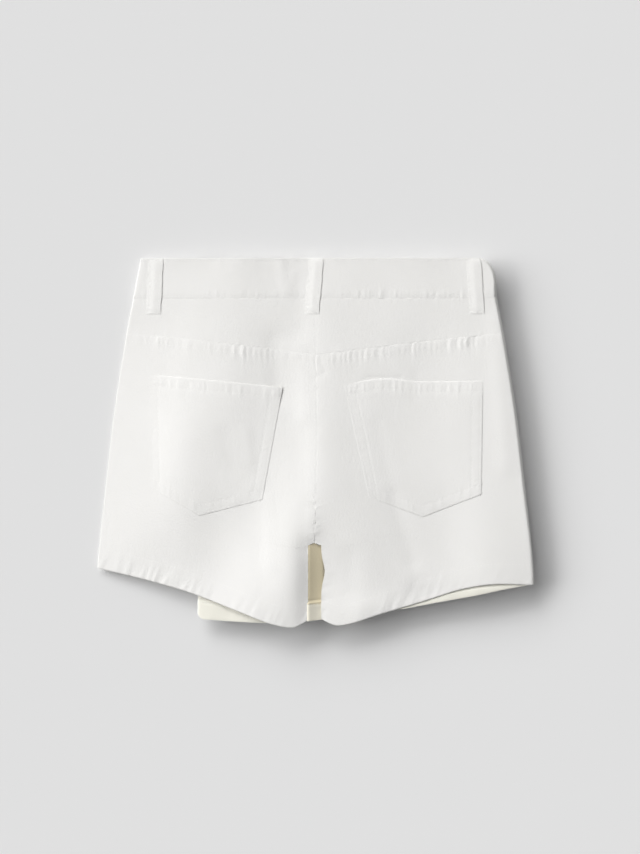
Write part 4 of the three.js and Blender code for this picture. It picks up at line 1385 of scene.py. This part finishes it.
# How far the pocket's face stands off the seat: where its pressed edge is turned under softly, where the
# edge is crisp, and inside the stitches.
POCKET_STAND = {
    "left": {"soft": 0.0, "crisp": 0.13, "inside": 0.18},
    "right": {"soft": 0.0, "crisp": 0.18, "inside": 0.24},
}
POCKET_SLOPE = {"side": 22.0, "mouth": 15.0, "crisp": 2.5}  # how far in from each edge it gains its height
print("pockets:", len(POCKETS), "on grids of", POCKET_GRID)


# %% Pockets
def pocket_plan(side):
    sizes = POCKETS[side]
    across, down = POCKET_GRID
    corner = {k: np.array(v, float) for k, v in sizes.items() if k not in ("gape", "bow")}
    u = np.linspace(0, 1, across)[:, None]
    v = np.linspace(0, 1, down)[:, None]
    low = np.where(
        u < 0.5,
        mix(corner["low_outer"], corner["point"], 2 * u),
        mix(corner["point"], corner["low_inner"], 2 * u - 1),
    )
    mouth = mix(corner["mouth_outer"], corner["mouth_inner"], u)
    bow_x, bow_width, bow_rise = sizes["bow"]
    held = ease(u[:, 0] / CORNER_HELD) * ease((1 - u[:, 0]) / CORNER_HELD)
    mouth[:, 1] += bow_rise * held * bell(mouth[:, 0] - bow_x, bow_width)
    outer = mix(corner["mouth_outer"], corner["low_outer"], v)
    return fill(mouth, low, outer, mix(corner["mouth_inner"], corner["low_inner"], v))


def pocket(side):
    x, y, points, normals, off = laid(LAYERS["back"], pocket_plan(side))
    sewn = np.minimum.reduce([off["outer"], off["inner"], off["bottom"]])
    gape_x, gape_y, gape_width, gape_rise = POCKETS[side]["gape"]
    gape = gape_rise * bell(x - gape_x, gape_width) * bell(y - gape_y, GAPE_DEPTH)
    left, right = ("outer", "inner") if side == "left" else ("inner", "outer")
    soft_edge = 1 - ease(np.minimum(off[left] / POCKET_SLOPE["side"], off["top"] / POCKET_SLOPE["mouth"]))
    crisp_edge = 1 - ease(np.minimum(off[right], off["bottom"]) / POCKET_SLOPE["crisp"])
    stands = POCKET_STAND[side]
    stand = stands["inside"] - (stands["inside"] - stands["soft"]) * soft_edge
    stand -= (stands["inside"] - stands["crisp"]) * crisp_edge * (1 - soft_edge)
    rise = stand + gape + POCKET_SWELL["height"] * ease(sewn / POCKET_SWELL["over"])
    grooves = sum(pressed(sewn, row, POCKET_ROWS["groove"]) for row in POCKET_ROWS["grooves"])
    rise -= ROW_SINK["pocket"] * (grooves + pressed(off["top"], POCKET_ROWS["mouth"], 1.0))
    if side == "right":
        rise += ROW_SINK["pocket"] * sum(pressed(off["inner"], line, 0.8) for line in POCKET_RIDGES)
    for edge in ("inner", "outer"):
        rise += puckers(f"pocket {edge}", y, np.abs(off[edge] - PUCKER_LINE["pocket"]))
    more_seed = 0 if side == "left" else 1
    rise += puckers("pocket mouth", x, np.abs(off["top"] - PUCKER_LINE["mouth"]), more_seed=more_seed)
    rise += puckers("pocket foot", x, np.abs(off["bottom"] - PUCKER_LINE["mouth"]))
    shut = np.clip(1 - gape / MOUTH_ROLL["gape"], 0, 1)
    rise -= MOUTH_ROLL["height"] * (1 - ease(off["top"] / MOUTH_ROLL["over"])) * shut
    wall = pressed_thin(POCKET_WALL, np.minimum(sewn, off["top"]))
    outer = points + normals * rise[..., None]
    inner = points + normals * (np.minimum(stand + gape, rise) - wall)[..., None]
    dress(f"pocket_{side}", outer, inner)
    return {"face": outer, "out": normals, "off": off}


pockets = {side: pocket(side) for side in SIDES}

# %% [markdown]
# ## Belt loops
# A loop is a folded strip, 13 mm wide, with two rows of stitches. Its ends are turned under and bar
# tacked, and its middle stands off the band so that a belt goes under it.

# %% Loops
# The middle of each loop, at its top and its foot.
LOOPS = {
    "belt_loop_left": (-143.5, -145.5),
    "belt_loop_centre": (0.8, -2.6),
    "belt_loop_right": (142.8, 145.6),
}
# Across a pressed loop: how far it stands off at its left edge, its crown and its right edge.
LOOP_STAND = {"left": 0.04, "crown": 0.38, "right": 0.32}
LOOP_CROWN = {"from": 0.5, "to": 0.55}  # how far across it is
LOOP_ENDS = {"share": 0.35, "over": 5.0}  # its bar-tacked ends lie flatter
LOOP_ON_BAND = {"below": 3.0, "over": 5.0}  # where it comes up onto the waistband
# A hand-guided folder leaves a loop's width and its left edge's height a little uneven, in waves of
# (height, radians in a millimetre).
LOOP_WANDER = [(0.35, 1 / 5.3), (0.2, 1 / 2.1)]
LOOP_WAVE = {"height": 0.05, "rate": 0.9, "stray": 2.0, "stray_rate": 0.31, "across": 0.5}
LOOP_WALL = 0.6
LOOP_GRID = (64, 23)  # points down and across


def belt_loop(node):
    top_x, foot_x = LOOPS[node]
    down, across = (np.linspace(0, 1, count) for count in LOOP_GRID)
    down, across = down[:, None], across[None]
    y = mix(LOOP["top"], LOOP["foot"], down) + 0 * across
    wander = sum(h * np.sin(y * rate + (n + 1) * top_x) for n, (h, rate) in enumerate(LOOP_WANDER))
    x = mix(top_x, foot_x, ease(down)) + (across - 0.5) * (LOOP["width"] + wander) + wander / 5
    points, normals = on_layer(LAYERS["back"], x, y)
    crown = mix(LOOP_STAND["left"], LOOP_STAND["crown"], ease(across / LOOP_CROWN["to"]))
    past_crown = ease((across - LOOP_CROWN["from"]) / (1 - LOOP_CROWN["from"]))
    crown -= (LOOP_STAND["crown"] - LOOP_STAND["right"]) * past_crown
    ends = np.minimum(down, 1 - down) * (LOOP["top"] - LOOP["foot"])
    crown = crown * mix(LOOP_ENDS["share"], 1.0, ease(ends / LOOP_ENDS["over"]))
    on_band = ease((y - BAND["seam"] + LOOP_ON_BAND["below"]) / LOOP_ON_BAND["over"])
    stray = LOOP_WAVE["stray"] * np.sin(y * LOOP_WAVE["stray_rate"])
    wave = LOOP_WAVE["height"] * np.sin(y * LOOP_WAVE["rate"] + stray)
    rise = BAND_SHOWS * on_band + crown + wave * ease(1 - across / LOOP_WAVE["across"])
    beside = np.minimum(across, 1 - across) * LOOP["width"]
    wall = pressed_thin(LOOP_WALL, np.minimum(beside, ends))
    outer = points + normals * rise[..., None]
    dress(node, outer, outer - normals * wall[..., None])
    return {"face": outer, "out": normals}


loops = {node: belt_loop(node) for node in LOOPS}


# %% [markdown]
# ## Sewing it together
# Every visible seam gets its rows: one along each edge of the waistband, two on each fell, two round each
# pocket, one on each hem, and bar tacks where a pull would tear the cloth.


# %% Lines on the cloth
def line_at(piece, edge, distance, rows=slice(None), start=0.0):
    """The line on a piece at a distance from one of its edges, sunk a little into the cloth."""
    off = piece["off"][edge]
    face = piece["face"] + piece["out"] * THREAD_SEAT
    if edge in ("outer", "inner"):
        off, face = off.T, face.transpose(1, 0, 2)
    line = []
    for column in range(off.shape[1]):
        order = np.argsort(off[:, column])
        line.append([np.interp(distance, off[order, column], face[order, column, k]) for k in range(3)])
    line = np.array(line)[rows]
    return line[int(start * len(line)) :]


# %% Rows on the back
SEAT_ROWS_END = 2.0  # above the crotch
YOKE_ROWS_START = 0.03  # of their length, in from the side

for side, back in backs.items():
    rows = [line_at(back, "top", row, start=YOKE_ROWS_START) for row in FELL["rows"]]
    rows.append(line_at(back, "bottom", LEG_HEM["row"]))
    if side == "left":
        on_seat = back["y"][:, -1] > CROTCH["y"] + SEAT_ROWS_END
        rows += [line_at(back, "inner", row, rows=on_seat) for row in FELL["rows"]]
    sew(f"stitches_back_{side}", rows)

for side, patch in pockets.items():
    sewn_edges = [(edge, row) for edge in ("outer", "inner", "bottom") for row in POCKET_ROWS["stitches"]]
    rows = [line_at(patch, edge, row) for edge, row in sewn_edges]
    rows.append(line_at(patch, "top", POCKET_ROWS["mouth"]))
    sew(f"stitches_pocket_{side}", rows)

# %% Rows on the yokes, the waistband and the hems
sew("stitches_yoke", [line_at(yokes["left"], "inner", row) for row in FELL["rows"]])
sew("stitches_waistband", [line_at(waist, edge, BAND_ROW) for edge in ("bottom", "top")])
sew("stitches_skirt_panel", [line_at(skirt, "bottom", SKIRT_HEM["row"])])
for side, front in fronts.items():
    sew(f"stitches_front_{side}", [line_at(front, "bottom", LEG_HEM["row"])])

# %% Rows on the loops
LOOP_ROW = 0.17  # of the loop's width, in from each side
ROW_END = 3  # points between a row's end and the loop's
TACK_END = 2  # points between a bar tack and the loop's end or side

for node, loop in loops.items():
    place = loop["face"] + loop["out"] * THREAD_SEAT
    inset = round(place.shape[1] * LOOP_ROW)
    rows = [place[ROW_END:-ROW_END, inset], place[ROW_END:-ROW_END, -1 - inset]]
    tacks = [place[TACK_END, TACK_END:-TACK_END], place[-1 - TACK_END, TACK_END:-TACK_END]]
    sew(f"stitches_{node}", rows, tacks)

# %% [markdown]
# ## Zip and button
# The zip lies inside the front, out of sight here: a woven tape and two rows of moulded teeth.
# The button is pressed metal on a tack, under the end of the waistband. Both are made as the maker buys
# them, because the model is turned over in use. A lathe profile gives the button its rolled rim.


# %% Zip tape
TAPE_WALL = 0.7
TAPE_GRID = (60, 17)  # points down and across


def zip_tape():
    x = np.linspace(-ZIP["half"], ZIP["half"], TAPE_GRID[1])[None] + ZIP["x"]
    y = np.linspace(BAND["seam"] - PANEL_GAP, ZIP["foot"], TAPE_GRID[0])[:, None]
    points, normals = on_layer(LAYERS["front_right"], *np.broadcast_arrays(x, y))
    outer = points - normals * PLY
    inner = points - normals * (PLY + TAPE_WALL)
    piece = shell("zip_tape_cloth", outer, inner, polyester_tape, polyester_tape)
    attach(piece, "root")
    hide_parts("fly_zip")
    print("zip tape:", 2 * len(piece.data.polygons), "triangles")
    return inner, normals


tape_face, tape_normals = zip_tape()

# %% Zip teeth
ZIP_TOOTH = {"pitch": 2.0, "length": 2.6, "thread": 1.1}
TOOTH_SEAT = 0.25  # how far a tooth's middle stands off the tape
TOOTH_ROWS = ((-0.7, 0), (0.7, 1.0))  # of the two halves, aside and along, so that the teeth mesh
ON_TAPE = slice(2, -3)  # from the top stop to the bottom stop

middle = tape_face.shape[1] // 2
chain = tape_face[ON_TAPE, middle] - tape_normals[ON_TAPE, middle] * TOOTH_SEAT
teeth = stitch_mesh([chain + np.array([aside, along, 0]) for aside, along in TOOTH_ROWS], ZIP_TOOTH, ACROSS)
teeth.materials.clear()
teeth.materials.append(satin_nickel)
teeth_piece = put("zip_teeth", teeth)
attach(teeth_piece, "root")
print("zip teeth:", len(teeth.polygons), "faces")


# %% Button
def lathe(name, profile, centre, material, segments=48):
    """A turned piece round a vertical line: profile is (radius, height) from the axis to the axis."""
    points, faces = [], []
    for radius, height in profile:
        for k in range(segments):
            angle = 2 * math.pi * k / segments
            x = centre[0] + radius * math.cos(angle)
            y = centre[1] + radius * math.sin(angle)
            points.append((x * MM, y * MM, (centre[2] + height) * MM))
    last = (len(profile) - 1) * segments
    for ring in range(0, last, segments):
        for k in range(segments):
            n = (k + 1) % segments
            faces.append((ring + k, ring + n, ring + segments + n, ring + segments + k))
    faces += [tuple(range(segments))[::-1], tuple(range(last, last + segments))]
    return mesh_piece(name, points, faces, material)


BUTTON_PROFILE = [(0.4, 0.55), (4.6, 0.5), (5.2, 0.15), (6.2, 0.0), (7.0, 0.12), (7.5, 0.6), (7.4, 1.1),
                  (6.9, 1.5), (6.0, 1.7), (2.6, 1.75), (2.4, 2.0), (0.4, 2.0)]
button = lathe("waist_button_metal", BUTTON_PROFILE, (BUTTON["x"], BUTTON["y"], 0.0), satin_nickel)
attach(button, "root")
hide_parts("waist_button")
print("button:", len(button.data.polygons), "faces")
